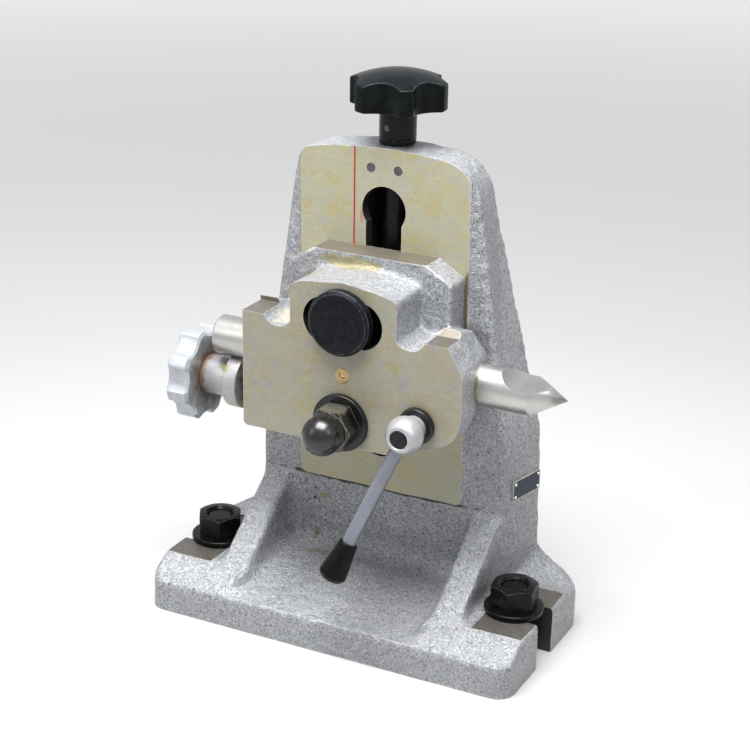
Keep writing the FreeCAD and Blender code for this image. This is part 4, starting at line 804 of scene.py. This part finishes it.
for radius, last in ((ARC_RADIUS + ARC_HALF, ARC_TURN), (ARC_RADIUS - ARC_HALF, -ARC_TURN)):
    turns = [math.radians(a) for a in np.linspace(-last, last, 24)]
    band += [(radius * math.sin(t), PIVOT_UP + radius * math.cos(t)) for t in turns]
tools.append((bar("arc_band", band, "XZ", -30, 25), bore_iron))
for side in (-1, 1):
    turn = math.radians(ARC_TURN * side)
    arc_end = (ARC_RADIUS * math.sin(turn), PIVOT_UP + ARC_RADIUS * math.cos(turn))
    tools.append((rod("arc_end", ARC_HALF, arc_end, "Y", -30, 25), bore_iron))
tools += [(rod("quill_bore", QUILL_RADIUS + 0.05, (0, QUILL_UP), "X", -60, 70), bore_iron),
          (rod("feed_hole", 5.05, (0, FEED_UP), "X", -60, -12), bore_iron),
          (rod("pivot_bore", 6.05, (0, PIVOT_UP), "Y", -30, 25), bore_iron),
          (rod("cotter_bore", 7.05, (LOCK_ACROSS, LOCK_UP), "Y", -30, 12.7), bore_iron),
          (rod("oiler_seat", CUP_RADIUS, (0, CUP_UP), "Y", -30, -16.3), bore_iron)]
for tool, iron in tools:
    machine(head, coat(tool, iron))
dress(crisp(head), "head", "head_casting")

# Oiler
# Pressed brass cup with a steel ball that a spring holds shut, tapped into the head's face over the quill.
BALL_RADIUS, CUP_FRONT = 1.5, HEAD_FRONT - 0.3
brass = metal("brass", (0.50, 0.37, 0.18), (0.45, 0.28, 0.12), (0.85, 0.72, 0.48), 0.32, 0.9, 500)
ball_steel = metal("ball_steel", (0.62, 0.55, 0.42), (0.50, 0.42, 0.30), (0.8, 0.78, 0.7), 0.16, 1.0)
spring_steel = metal("spring_steel", (0.30, 0.30, 0.31), (0.22, 0.22, 0.23), (0.5, 0.5, 0.5), 0.35, 1.0)
cup = lathe("oil_cup", softened([
    (CUP_FRONT, 1.25, 0.05), (CUP_FRONT + 0.12, 1.75, 0.1), (CUP_FRONT - 0.1, 2.5, 0.2),
    (CUP_FRONT, 3.2, 0.2), (CUP_FRONT + 0.28, 3.5, 0.05), (CUP_FRONT + 0.28, CUP_RADIUS, 0),
    (CUP_FRONT + 5, CUP_RADIUS, 0), (CUP_FRONT + 5, 1.65, 0),
    (CUP_FRONT + 0.5, 1.65, 0), (CUP_FRONT + 0.5, 1.25, 0)]), "Y", (0, CUP_UP), 64)
dress(crisp(coat(cup, brass)), "head", "oiler_cup")
ball_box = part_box("oiler_ball")
ball_middle = (ball_box[0][1] + ball_box[1][1]) / 2 / MM
arc = [(ball_middle - BALL_RADIUS * math.cos(t), BALL_RADIUS * math.sin(t)) for t in np.linspace(0, math.pi,
                                                                                                 25)]
ball = lathe("oil_ball", [(arc[0][0], 0)] + arc[1:-1] + [(arc[-1][0], 0)], "Y", (0, CUP_UP), 48)
dress(crisp(coat(ball, ball_steel)), "head", "oiler_ball")


def finish(node_name, material):
    """Give a CAD node its material."""
    coat(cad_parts[node_name], material)


finish("oiler_spring", spring_steel)

# Elevating screw
# M12 screw that hangs by a turned neck between the crown's pins, with a plain journal above its thread.
# Carbon steel, blackened and greased; it shows in the keyhole and the guide slot.
SCREW_RADIUS, SCREW_FOOT = 6, 126.5
SLEEVE_LOW, SLEEVE_TOP, SLEEVE_RADIUS, NECK_RADIUS, FINE_PITCH, THREAD_TOP = 215.4, 231, 8.1, 4.25, 2, 168
screw_black = metal("screw_black", (0.006, 0.006, 0.0065), (0.012, 0.011, 0.010), (0.08, 0.08, 0.075), 0.30,
                    0.3, 260, 0.12, 0.2, 0.5, gleam=0.25)
neck_low, neck_top = PIN_UP - PIN_RADIUS - 0.05, PIN_UP + PIN_RADIUS + 0.05
spigot_top = SLEEVE_TOP + 7.3
screw = lathe("lifting_screw", [(SCREW_FOOT, 0), (SCREW_FOOT, SCREW_RADIUS - 1)]
              + rings(SCREW_FOOT + 1, JOURNAL_LOW - 3, SCREW_RADIUS, FINE_PITCH)
              + [(JOURNAL_LOW - 2, SCREW_RADIUS), (JOURNAL_LOW, JOURNAL_RADIUS), (neck_low, JOURNAL_RADIUS),
                 (neck_low, NECK_RADIUS), (neck_top, NECK_RADIUS), (neck_top, JOURNAL_RADIUS),
                 (SLEEVE_LOW, JOURNAL_RADIUS), (SLEEVE_LOW, 5), (spigot_top, 5), (spigot_top, 0)], sides=64)
threaded(screw, FINE_PITCH, 1.1, SCREW_FOOT + 1.2, THREAD_TOP, screw_black)
to_screw = Matrix.Translation(Vector((0, SCREW_DEEP, 0)) * MM)
screw.data.transform(to_screw)
dress(screw, "elevating_screw", "elevating_screw")

# Sleeve and cross pin
# Blackened steel sleeve under the knob, with a groove at its foot, pinned through to the screw.
PIN_HEIGHT, PIN_TURN, CROSS_RADIUS = SLEEVE_LOW + 7.33, math.radians(-103), 1.5
sleeve_black = metal("sleeve_black", (0.004, 0.0055, 0.006), (0.009, 0.011, 0.0115), (0.16, 0.17, 0.17),
                     0.28, 0.2, 320, 0.1, 0.25, 0.7, (60, 60, 5200), gleam=0.25)
sleeve = lathe("pinned_sleeve", softened([
    (SLEEVE_LOW, 5.02, 0), (SLEEVE_LOW, SLEEVE_RADIUS - 0.1, 0.5), (SLEEVE_LOW + 2.1, SLEEVE_RADIUS, 0.2),
    (SLEEVE_LOW + 2.5, SLEEVE_RADIUS - 0.35, 0.1), (SLEEVE_LOW + 2.9, SLEEVE_RADIUS, 0.2),
    (SLEEVE_TOP, SLEEVE_RADIUS, 0.3), (SLEEVE_TOP, 5.02, 0)]), "Z", (0, SCREW_DEEP))
along_pin = to_screw @ Matrix.Rotation(PIN_TURN, 4, "Z")
hole = rod("pin_hole", CROSS_RADIUS + 0.03, (0, PIN_HEIGHT), "X", -12, 12, 40)
hole.data.transform(along_pin)
coat(sleeve, sleeve_black)
machine(sleeve, hole)
dress(crisp(sleeve), "elevating_screw", "knob_sleeve")
cross_pin = lathe("cross_pin", softened([
    (-SLEEVE_RADIUS + 0.35, 0, 0), (-SLEEVE_RADIUS + 0.35, CROSS_RADIUS, 0.3),
    (SLEEVE_RADIUS - 0.35, CROSS_RADIUS, 0.3), (SLEEVE_RADIUS - 0.35, 0, 0)]), "X", (0, PIN_HEIGHT), 40)
cross_pin.data.transform(along_pin)
dress(crisp(coat(cross_pin, pin_steel)), "elevating_screw", "knob_pin")

# Elevating knob
# Six-lobed hand knob with a low dome, moulded round its steel bush. Hard black phenolic with a dull polish;
# the lobes' edges, where it is gripped, are rubbed shiny.
star, size, out = geometry("lobed_knob", {
    "Radius": "Float", "Lobes": "Float", "Scallop": "Float", "Bite": "Float", "Soft": "Float",
    "Tall": "Float", "Dome": "Float", "Turn": "Float", "Core": "Float", "Finish": "Material"})
spot = wire(star, "GeometryNodeInputPosition").outputs[0]
part = wire(star, "ShaderNodeSeparateXYZ", {0: spot}).outputs
bearing = minus(star, sums(star, "ARCTAN2", part["Y"], part["X"]), size["Turn"])
half_lobe = sums(star, "DIVIDE", math.pi, size["Lobes"])
off_hollow = sums(star, "WRAP", bearing, half_lobe, times(star, half_lobe, -1.0))
hollow_out = minus(star, plus(star, size["Radius"], size["Scallop"]), size["Bite"])
aside = times(star, hollow_out, sums(star, "SINE", off_hollow))
deep = minus(star, times(star, size["Scallop"], size["Scallop"]),
            times(star, aside, aside))
bitten = minus(star, times(star, hollow_out, sums(star, "COSINE", off_hollow)),
              sums(star, "SQRT", sums(star, "MAXIMUM", deep, 0.0)))
rim = sums(star, "SMOOTH_MIN", size["Radius"], bitten, size["Soft"])
share = sums(star, "DIVIDE", off_axis(star, part), size["Radius"])
grip = wire(star, "ShaderNodeMapRange", {0: share, 1: size["Core"], 2: 1.0}, interpolation_type="SMOOTHSTEP")
drawn = minus(star, sums(star, "DIVIDE", rim, size["Radius"]), 1.0)
factor = plus(star, times(star, drawn, grip.outputs[0]), 1.0)
inward = times(star, share, factor)


def crown_height(across):
    """Height of the knob's top at a share of its radius."""
    fall = minus(star, 1.0, times(star, across, across))
    return plus(star, size["Tall"], times(star, size["Dome"], fall))


lift = sums(star, "DIVIDE", crown_height(inward), crown_height(share))
reshape(star, spot, (factor, factor, lift), size, out)

KNOB_RADIUS, KNOB_TALL, KNOB_DOME, KNOB_TURN = 21.7, 11.3, 5.0, math.radians(-25.1)
knob_black = metal("knob_black", (0.0025, 0.0032, 0.0035), (0.007, 0.0095, 0.0105), (0.13, 0.155, 0.165),
                   0.26, 0.0, 130, 0.2, 0.6, 0.8, gleam=0.09)
dome = [(KNOB_TALL + KNOB_DOME * (1 - (r / KNOB_RADIUS) ** 2), r) for r in np.linspace(KNOB_RADIUS - 1.3,
                                                                                       0.9, 22)]
knob = lathe("hand_knob", [(0, 5.05), (0, 12)] + [(0, r) for r in np.linspace(13, KNOB_RADIUS - 1.2, 9)]
             + softened([(0, KNOB_RADIUS - 1.2, 0), (0, KNOB_RADIUS, 0.9),
                         (KNOB_TALL + 0.1, KNOB_RADIUS, 0.9), (dome[0][0], dome[0][1], 0)])[1:]
             + dome[1:] + [(KNOB_TALL + KNOB_DOME, 0.4), (7.3, 0.4), (7.3, 5.05)], sides=288)
grow(knob, star, {"Radius": KNOB_RADIUS * MM, "Lobes": 6.0, "Scallop": 12.3 * MM, "Bite": 4.7 * MM,
                  "Soft": 1.6 * MM, "Tall": KNOB_TALL * MM, "Dome": KNOB_DOME * MM, "Turn": KNOB_TURN,
                  "Core": 0.5, "Finish": knob_black})
knob.data.transform(to_screw @ Matrix.Translation(Vector((0, 0, SLEEVE_TOP)) * MM))
dress(crisp(knob, 40), "elevating_screw", "elevating_knob")

# Elevating nut
# Round cross nut with a guide that rides in the slot, bored for the screw. Plain steel, out of sight.
nut_steel = metal("nut_steel", (0.16, 0.155, 0.15), (0.10, 0.095, 0.09), (0.4, 0.4, 0.39), 0.35, 0.9)
finish("elevating_nut", nut_steel)

# Disc bolt
# Shoulder bolt with a broad thin head that laps over the head's curved slot, into the elevating nut. Turned
# steel, gun-blued, with a coned edge.
DISC_UP, DISC_RADIUS, DISC_BACK, DISC_FRONT = PIVOT_UP + ARC_RADIUS, 14.5, -21.05, -25.85
SHOULDER_RADIUS, SHOULDER_BACK, DISC_THREAD, DISC_TIP = 6.5, 16.55, 5, 22
disc_blue = metal("disc_blue", (0.003, 0.0036, 0.0045), (0.011, 0.014, 0.019), (0.24, 0.25, 0.26), 0.36, 0.2,
                  420, 0.35, 0.8, 1.0, gleam=0.16)
disc = lathe("disc_bolt", softened([
    (DISC_FRONT, 0, 0), (DISC_FRONT, DISC_RADIUS - 1.3, 0.5), (DISC_FRONT + 1.1, DISC_RADIUS, 0.4),
    (DISC_BACK, DISC_RADIUS, 0.2), (DISC_BACK, SHOULDER_RADIUS, 0), (SHOULDER_BACK, SHOULDER_RADIUS, 0),
    (SHOULDER_BACK, DISC_THREAD, 0), (DISC_TIP, DISC_THREAD, 0), (DISC_TIP, 0, 0)]), "Y", (0, DISC_UP), 128)
dress(crisp(coat(disc, disc_blue)), "carriage", "arc_slot_bolt")

# Clamp bolt, washer and cap nut
# T-bolt on which the head tilts, a black washer and a domed hexagon nut. Forged steel, blackened; the dome
# is polished, and a spanner has rubbed the hexagon's corners.
NUT_FRONT, CAP_FLATS, CAP_HEX, CAP_NECK, CAP_DOME = -23.55, 18, 9.8, 5, 8.8
finish("clamp_bolt", nut_steel)
greased = metal("greased_black", (0.006, 0.006, 0.0065), (0.012, 0.012, 0.0125), (0.18, 0.18, 0.17), 0.2, 0.2,
                520, 0.6, 0.3, 0.7, gleam=0.5)
clamp_washer = lathe("clamp_ring", softened([
    (NUT_FRONT, 6.2, 0.2), (NUT_FRONT, 13, 0.7), (DISC_BACK, 13, 0.3), (DISC_BACK, 6.2, 0)]), "Y",
    (0, PIVOT_UP))
dress(crisp(coat(clamp_washer, greased)), "carriage", "clamp_washer")

# Painted reflection of the top lamp: a lighter olive-brown tint on the hexagon's upper facets
cap_top_sheen = [((0.11, 0.105, 0.08), (0, NUT_FRONT - 5, PIVOT_UP + 10), (9, 6, 4), 0.5, 0.9)]
cap_black = metal("cap_black", (0.003, 0.0032, 0.004), (0.005, 0.0055, 0.007), (0.45, 0.43, 0.38), 0.25, 0.2,
                  300, 0.03, 0.5, 1.0, marks=cap_top_sheen, gleam=0.9)
back = NUT_FRONT - 0.05
shoulder = back - CAP_HEX
cone = lathe("cone", [(shoulder, 0), (shoulder, CAP_FLATS / 2 - 0.1), (shoulder + 1.0, CAP_FLATS / 2 + 1.9),
                      (back, CAP_FLATS / 2 + 1.9), (back, 0)], "Y", (0, PIVOT_UP), 120)
cap = hexagon("domed_nut", CAP_FLATS, "XZ", shoulder, back, (0, PIVOT_UP), cone)
middle = shoulder - CAP_NECK
arc = [(middle - CAP_DOME * math.cos(t), CAP_DOME * math.sin(t)) for t in np.linspace(0, math.pi / 2, 20)]
machine(cap, lathe("dome", [(arc[0][0], 0)] + arc[1:] + softened([
    (middle, CAP_DOME, 0), (shoulder + 0.2, CAP_DOME - 0.25, 0.3), (shoulder + 1, CAP_DOME - 1, 0),
    (shoulder + 1, 0, 0)])[1:], "Y", (0, PIVOT_UP), 112), "UNION")
machine(cap, rod("tapping", 6.05, (0, PIVOT_UP), "Y", shoulder - 4.6, back + 1, 64))
dress(crisp(coat(cap, cap_black)), "clamp_nut", "cap_nut")

# Quill lock
# Split cotter that grips the quill when its screw is turned. Steel, out of sight but for the black collar
# that the lever's hub presses on.
COLLAR_BACK, COLLAR_FRONT, COLLAR_RADIUS = -21.55, -24.05, 8.25
for node_name in ("lock_cotter_front", "lock_cotter_rear", "lock_screw"):
    finish(node_name, nut_steel)
lock_axis = (LOCK_ACROSS, LOCK_UP)
collar = lathe("lock_ring", softened([
    (COLLAR_FRONT, 4.06, 0.2), (COLLAR_FRONT, COLLAR_RADIUS - 0.3, 0.6), (COLLAR_BACK, COLLAR_RADIUS, 0.3),
    (COLLAR_BACK, 4.06, 0)]), "Y", lock_axis)
dress(crisp(coat(collar, greased)), "lock_lever", "lock_collar")

# Lever hub
# Ball hub with a flat front and a short neck, cross-bored for the arm. Steel, satin-chromed, with a black
# socket cap sunk in its front face.
HUB_MIDDLE, HUB_RADIUS, HUB_FLAT, HUB_NECK, CAP_SEAT = -33.5, 8.2, 6.1, 5.5, 1.7
SWING, RAKE = math.radians(21), math.radians(15)
ARM_RADIUS, ARM_START, ARM_LENGTH, GRIP_LENGTH = 3, 4.2, 71.5, 18.5
hub_chrome = metal("hub_chrome", (0.50, 0.51, 0.53), (0.42, 0.425, 0.44), (0.85, 0.85, 0.85), 0.34, 0.5, 160,
                   0.04)
front_angle = math.acos(HUB_FLAT / HUB_RADIUS)
rear_angle = math.pi - math.asin(HUB_NECK / HUB_RADIUS)
arc = [(HUB_MIDDLE - HUB_RADIUS * math.cos(t), HUB_RADIUS * math.sin(t))
       for t in np.linspace(front_angle, rear_angle, 30)]
face, seat = HUB_MIDDLE - HUB_FLAT, HUB_MIDDLE - HUB_FLAT + CAP_SEAT
hub = lathe("ball_hub", softened([(seat, 0, 0), (seat, 4.1, 0), (face + 0.25, 4.1, 0), (face, 4.35, 0)])
            + [(face, arc[0][1] - 0.35), (face + 0.12, arc[0][1] - 0.08)] + arc[1:]
            + softened([(arc[-1][0], HUB_NECK, 0), (COLLAR_FRONT - 0.05, HUB_NECK, 0.4),
                        (COLLAR_FRONT - 0.05, 4.05, 0), (HUB_MIDDLE - 1, 4.05, 0),
                        (HUB_MIDDLE - 1, 0, 0)])[1:], "Y", lock_axis, 112)
away = Vector((-math.sin(SWING) * math.cos(RAKE), -math.sin(RAKE), -math.cos(SWING) * math.cos(RAKE)))
on_arm = (Matrix.Translation(Vector((LOCK_ACROSS, HUB_MIDDLE, LOCK_UP)) * MM)
          @ away.to_track_quat("Z", "Y").to_matrix().to_4x4())
socket = rod("arm_socket", ARM_RADIUS, (0, 0), "Z", ARM_START, 12, 48)
socket.data.transform(on_arm)
machine(hub, socket)
dress(crisp(coat(hub, hub_chrome)), "lock_lever", "lever_hub")
cap_satin = metal("cap_satin", (0.007, 0.007, 0.008), (0.012, 0.012, 0.013), (0.10, 0.10, 0.10), 0.34, 0.1,
                  300, 0.1, gleam=0.3)
socket_cap = lathe("socket_cap", softened([
    (face + 0.1, 0, 0), (face + 0.1, 3.75, 0.5), (seat, 3.75, 0), (seat, 2, 0), (HUB_MIDDLE + 4, 2, 0),
    (HUB_MIDDLE + 4, 0, 0)]), "Y", lock_axis, 72)
dress(crisp(coat(socket_cap, cap_satin)), "lock_lever", "hub_cap_screw")

# Lever arm and grip
# Ground steel rod pressed into the hub, with a tapered black grip moulded on its end.
arm_satin = metal("arm_satin", (0.27, 0.285, 0.33), (0.22, 0.23, 0.27), (0.7, 0.7, 0.74), 0.34, 0.6, 90, 0.1,
                  line=(2400, 2400, 60))
arm_end = ARM_LENGTH - GRIP_LENGTH * 0.35
arm = lathe("satin_arm", softened([(ARM_START, 0, 0), (ARM_START, ARM_RADIUS, 0), (arm_end, ARM_RADIUS, 0.5),
                                   (arm_end, 0, 0)]), "Z", (0, 0), 72)
arm.data.transform(on_arm)
dress(crisp(coat(arm, arm_satin)), "lock_lever", "lever_arm")
grip_black = metal("grip_black", (0.003, 0.0032, 0.0035), (0.0045, 0.0047, 0.005), (0.03, 0.03, 0.03), 0.3,
                   0.0, 260, 0.15, 0.6, 0.6, gleam=0.12)
grip_low = ARM_LENGTH - GRIP_LENGTH
lever_grip = lathe("moulded_grip", softened([
    (grip_low, ARM_RADIUS + 0.02, 0.1), (grip_low, 4.0, 0.7), (ARM_LENGTH - 2.6, 6.3, 1.6),
    (ARM_LENGTH - 0.5, 4.9, 1.2), (ARM_LENGTH, 2.4, 1.0), (ARM_LENGTH, 0.3, 0), (arm_end, 0.3, 0),
    (arm_end, ARM_RADIUS + 0.02, 0)]), "Z", (0, 0), 96)
lever_grip.data.transform(on_arm)
dress(crisp(coat(lever_grip, grip_black)), "lock_lever", "lever_grip")

# Quill
# Hardened steel bar, ground and polished, with a 60 degree point. A cutter's run-out shows where the point
# was relieved above the centre line, and a notch below its other end takes the feed screw's flange.
QUILL_LEFT, QUILL_TIP, RELIEF_FROM, RELIEF_UP = -72.6, 95, 66, 4.5
FLANGE_OUTER, FLANGE_THICK, FLANGE_BITE, RELIEF_LEAN, RUN_OUT = -65.6, 7, 1.3, math.radians(10), 15.7

# Old oil where the quill leaves the head, and bruises near its end
quill_marks = [((0.30, 0.23, 0.11), (56.5, -7, 124), (1.6, 5, 9), 1.5, 0.6),
               ((0.25, 0.22, 0.18), (-66, -6, 118), (7, 6, 2.5), 1.6, 0.5)]
ground_steel = metal("ground_steel", (0.55, 0.545, 0.525), (0.50, 0.49, 0.47), (0.8, 0.79, 0.77), 0.33, 0.95,
                     60, 0.01, 0.4, 0.6, (2600, 40, 40), quill_marks)
relief_steel = metal("milled_relief", (0.40, 0.39, 0.385), (0.35, 0.34, 0.335), (0.8, 0.8, 0.78), 0.42, 1.0,
                     90, 0.15, line=(400, 2600, 400))
point = QUILL_TIP - QUILL_RADIUS / math.tan(math.radians(30))
quill = lathe("ground_quill", softened([(QUILL_LEFT, 0, 0), (QUILL_LEFT, QUILL_RADIUS, 1.0),
                                        (point, QUILL_RADIUS, 0.3), (QUILL_TIP, 0, 0)]), "X", (0, QUILL_UP),
                                        160)
coat(quill, ground_steel)
run = math.sqrt(RUN_OUT ** 2 - (RUN_OUT - RELIEF_UP) ** 2)
sweep_down = [(RELIEF_FROM + run - RUN_OUT * math.sin(t), RELIEF_UP + RUN_OUT - RUN_OUT * math.cos(t))
              for t in np.linspace(math.asin(run / RUN_OUT), 0, 24)]
relief = coat(bar("relief", [(RELIEF_FROM, 12)] + sweep_down + [(100, RELIEF_UP), (100, 12)], "XZ", -15, 15),
                relief_steel)
relief.data.transform(Matrix.Translation(Vector((0, 0, QUILL_UP)) * MM) @ Matrix.Rotation(RELIEF_LEAN, 4,
                                                                                          "X"))
machine(quill, relief)
notch_top = QUILL_UP - QUILL_RADIUS + FLANGE_BITE + 0.15
machine(quill, coat(block("flange_notch", (FLANGE_OUTER - 0.15, -10, 110),
                            (FLANGE_OUTER + FLANGE_THICK + 0.15, 10, notch_top)), relief_steel))
dress(crisp(quill, 25), "quill", "quill")

# Feed screw
# Screw that draws the quill along by its flange. Turned steel, bright-plated; yellow grease has crept out
# along the flange, and rust from under the knob.
FEED_RADIUS, FEED_END, FLANGE_RADIUS, FEED_HUB, KNOB_INNER = 5, -24, 12.6, 9, -79
FEED_PITCH, FEED_THICK = 1.5, 11
knob_outer = KNOB_INNER - FEED_THICK

# Grease on the flange's foot and on the hub, a rusty ring at the knob, and shade where the thread starts
feed_marks = [((0.40, 0.36, 0.10), (-62, -6, 92), (4.6, 7, 4), 1.4, 0.8),
              ((0.30, 0.27, 0.10), (-66.5, -6, 111), (3.5, 6, 3), 1.4, 0.75),
              ((0.32, 0.15, 0.065), (-79, 0, 103.7), (3.2, 14, 14), 1.2, 0.8),
              ((0.10, 0.095, 0.09), (-58, 0, 103.7), (0.9, 16, 16), 0.6, 0.9)]
feed_plated = metal("feed_plated", (0.46, 0.455, 0.47), (0.37, 0.36, 0.365), (0.8, 0.81, 0.82), 0.38, 0.45,
                    110, 0.12, 0.4, 0.6, (2600, 120, 120), feed_marks)
inner = FLANGE_OUTER + FLANGE_THICK
profile = ([(knob_outer, 0), (knob_outer, 4), (KNOB_INNER, 4)]
           + softened([(KNOB_INNER, 4, 0), (KNOB_INNER, FEED_HUB, 0.2), (FLANGE_OUTER, FEED_HUB, 0.5),
                       (FLANGE_OUTER, FLANGE_RADIUS, 0.7), (inner, FLANGE_RADIUS, 0.7),
                       (inner, FEED_RADIUS, 0)])[1:]
           + rings(inner + 0.5, FEED_END - 1, FEED_RADIUS, FEED_PITCH)
           + [(FEED_END, FEED_RADIUS - 0.9), (FEED_END, 0)])
feed = lathe("feed_spindle", profile, sides=96)
threaded(feed, FEED_PITCH, 0.9, inner + 0.7, FEED_END - 1.2, feed_plated)
along_feed = Matrix.Translation(Vector((0, 0, FEED_UP)) * MM) @ Matrix.Rotation(math.pi / 2, 4, "Y")
tap = rod("tapping", 2.375, (0, 0), "Z", knob_outer - 1, knob_outer + 8, 40)
machine(feed, tap)
feed.data.transform(along_feed)
dress(crisp(feed), "feed_screw", "feed_screw")

# Feed knob
# Eight-lobed hand knob with bevelled rims, die-cast in zinc and satin-plated, held by a slotted cap screw.
FEED_KNOB_RADIUS, FEED_TURN = 21.5, math.radians(-7)

# Painted shade over the whole inner face, which looks towards the head, and a rust-brown ring round the hub
knob_shade_and_rust = [((0.10, 0.088, 0.07), (-78.2, 0, 103.7), (1.5, 24, 24), 0.4, 0.85),
             ((0.16, 0.085, 0.045), (-78.4, 0, 103.7), (1.5, 13, 13), 1.0, 0.7)]
knob_zinc = metal("knob_zinc", (0.54, 0.56, 0.59), (0.42, 0.44, 0.475), (0.9, 0.92, 0.94), 0.34, 0.45, 120,
                  0.14, 0.7, 0.9, marks=knob_shade_and_rust)
flat_in = [(0, r) for r in np.linspace(8, FEED_KNOB_RADIUS - 1.8, 8)]
flat_out = [(FEED_THICK, r) for _, r in reversed(flat_in)]
zinc_knob = lathe("zinc_knob", [(0, 4.05)] + flat_in + softened([
    (0, FEED_KNOB_RADIUS - 1.7, 0), (1.1, FEED_KNOB_RADIUS, 0.6), (FEED_THICK - 1.1, FEED_KNOB_RADIUS, 0.6),
    (FEED_THICK, FEED_KNOB_RADIUS - 1.7, 0)]) + flat_out + [(FEED_THICK, 4.05)], sides=288)
grow(zinc_knob, star, {"Radius": FEED_KNOB_RADIUS * MM, "Lobes": 8.0, "Scallop": 10 * MM, "Bite": 2.7 * MM,
                       "Soft": 0.3 * MM, "Tall": FEED_THICK * MM, "Dome": 0.0, "Turn": FEED_TURN, "Core": 0.6,
                       "Finish": knob_zinc})
zinc_knob.data.transform(Matrix.Translation(Vector((knob_outer, 0, FEED_UP)) * MM)
                         @ Matrix.Rotation(math.pi / 2, 4, "Y"))
dress(crisp(zinc_knob, 30), "feed_screw", "feed_knob")
cap_front = knob_outer - 2.8
cap_screw = lathe("slotted_cap", softened([
    (cap_front, 0, 0), (cap_front, 4.75, 1.0), (knob_outer, 4.75, 0.1), (knob_outer, 2.37, 0),
    (knob_outer + 7, 2.37, 0), (knob_outer + 7, 0, 0)]), "X", (0, FEED_UP), 64)
machine(cap_screw, block("slot", (cap_front - 1, -6, FEED_UP - 0.5), (cap_front + 1.3, 6, FEED_UP + 0.5)))
dress(crisp(coat(cap_screw, feed_plated)), "feed_screw", "feed_cap_screw")
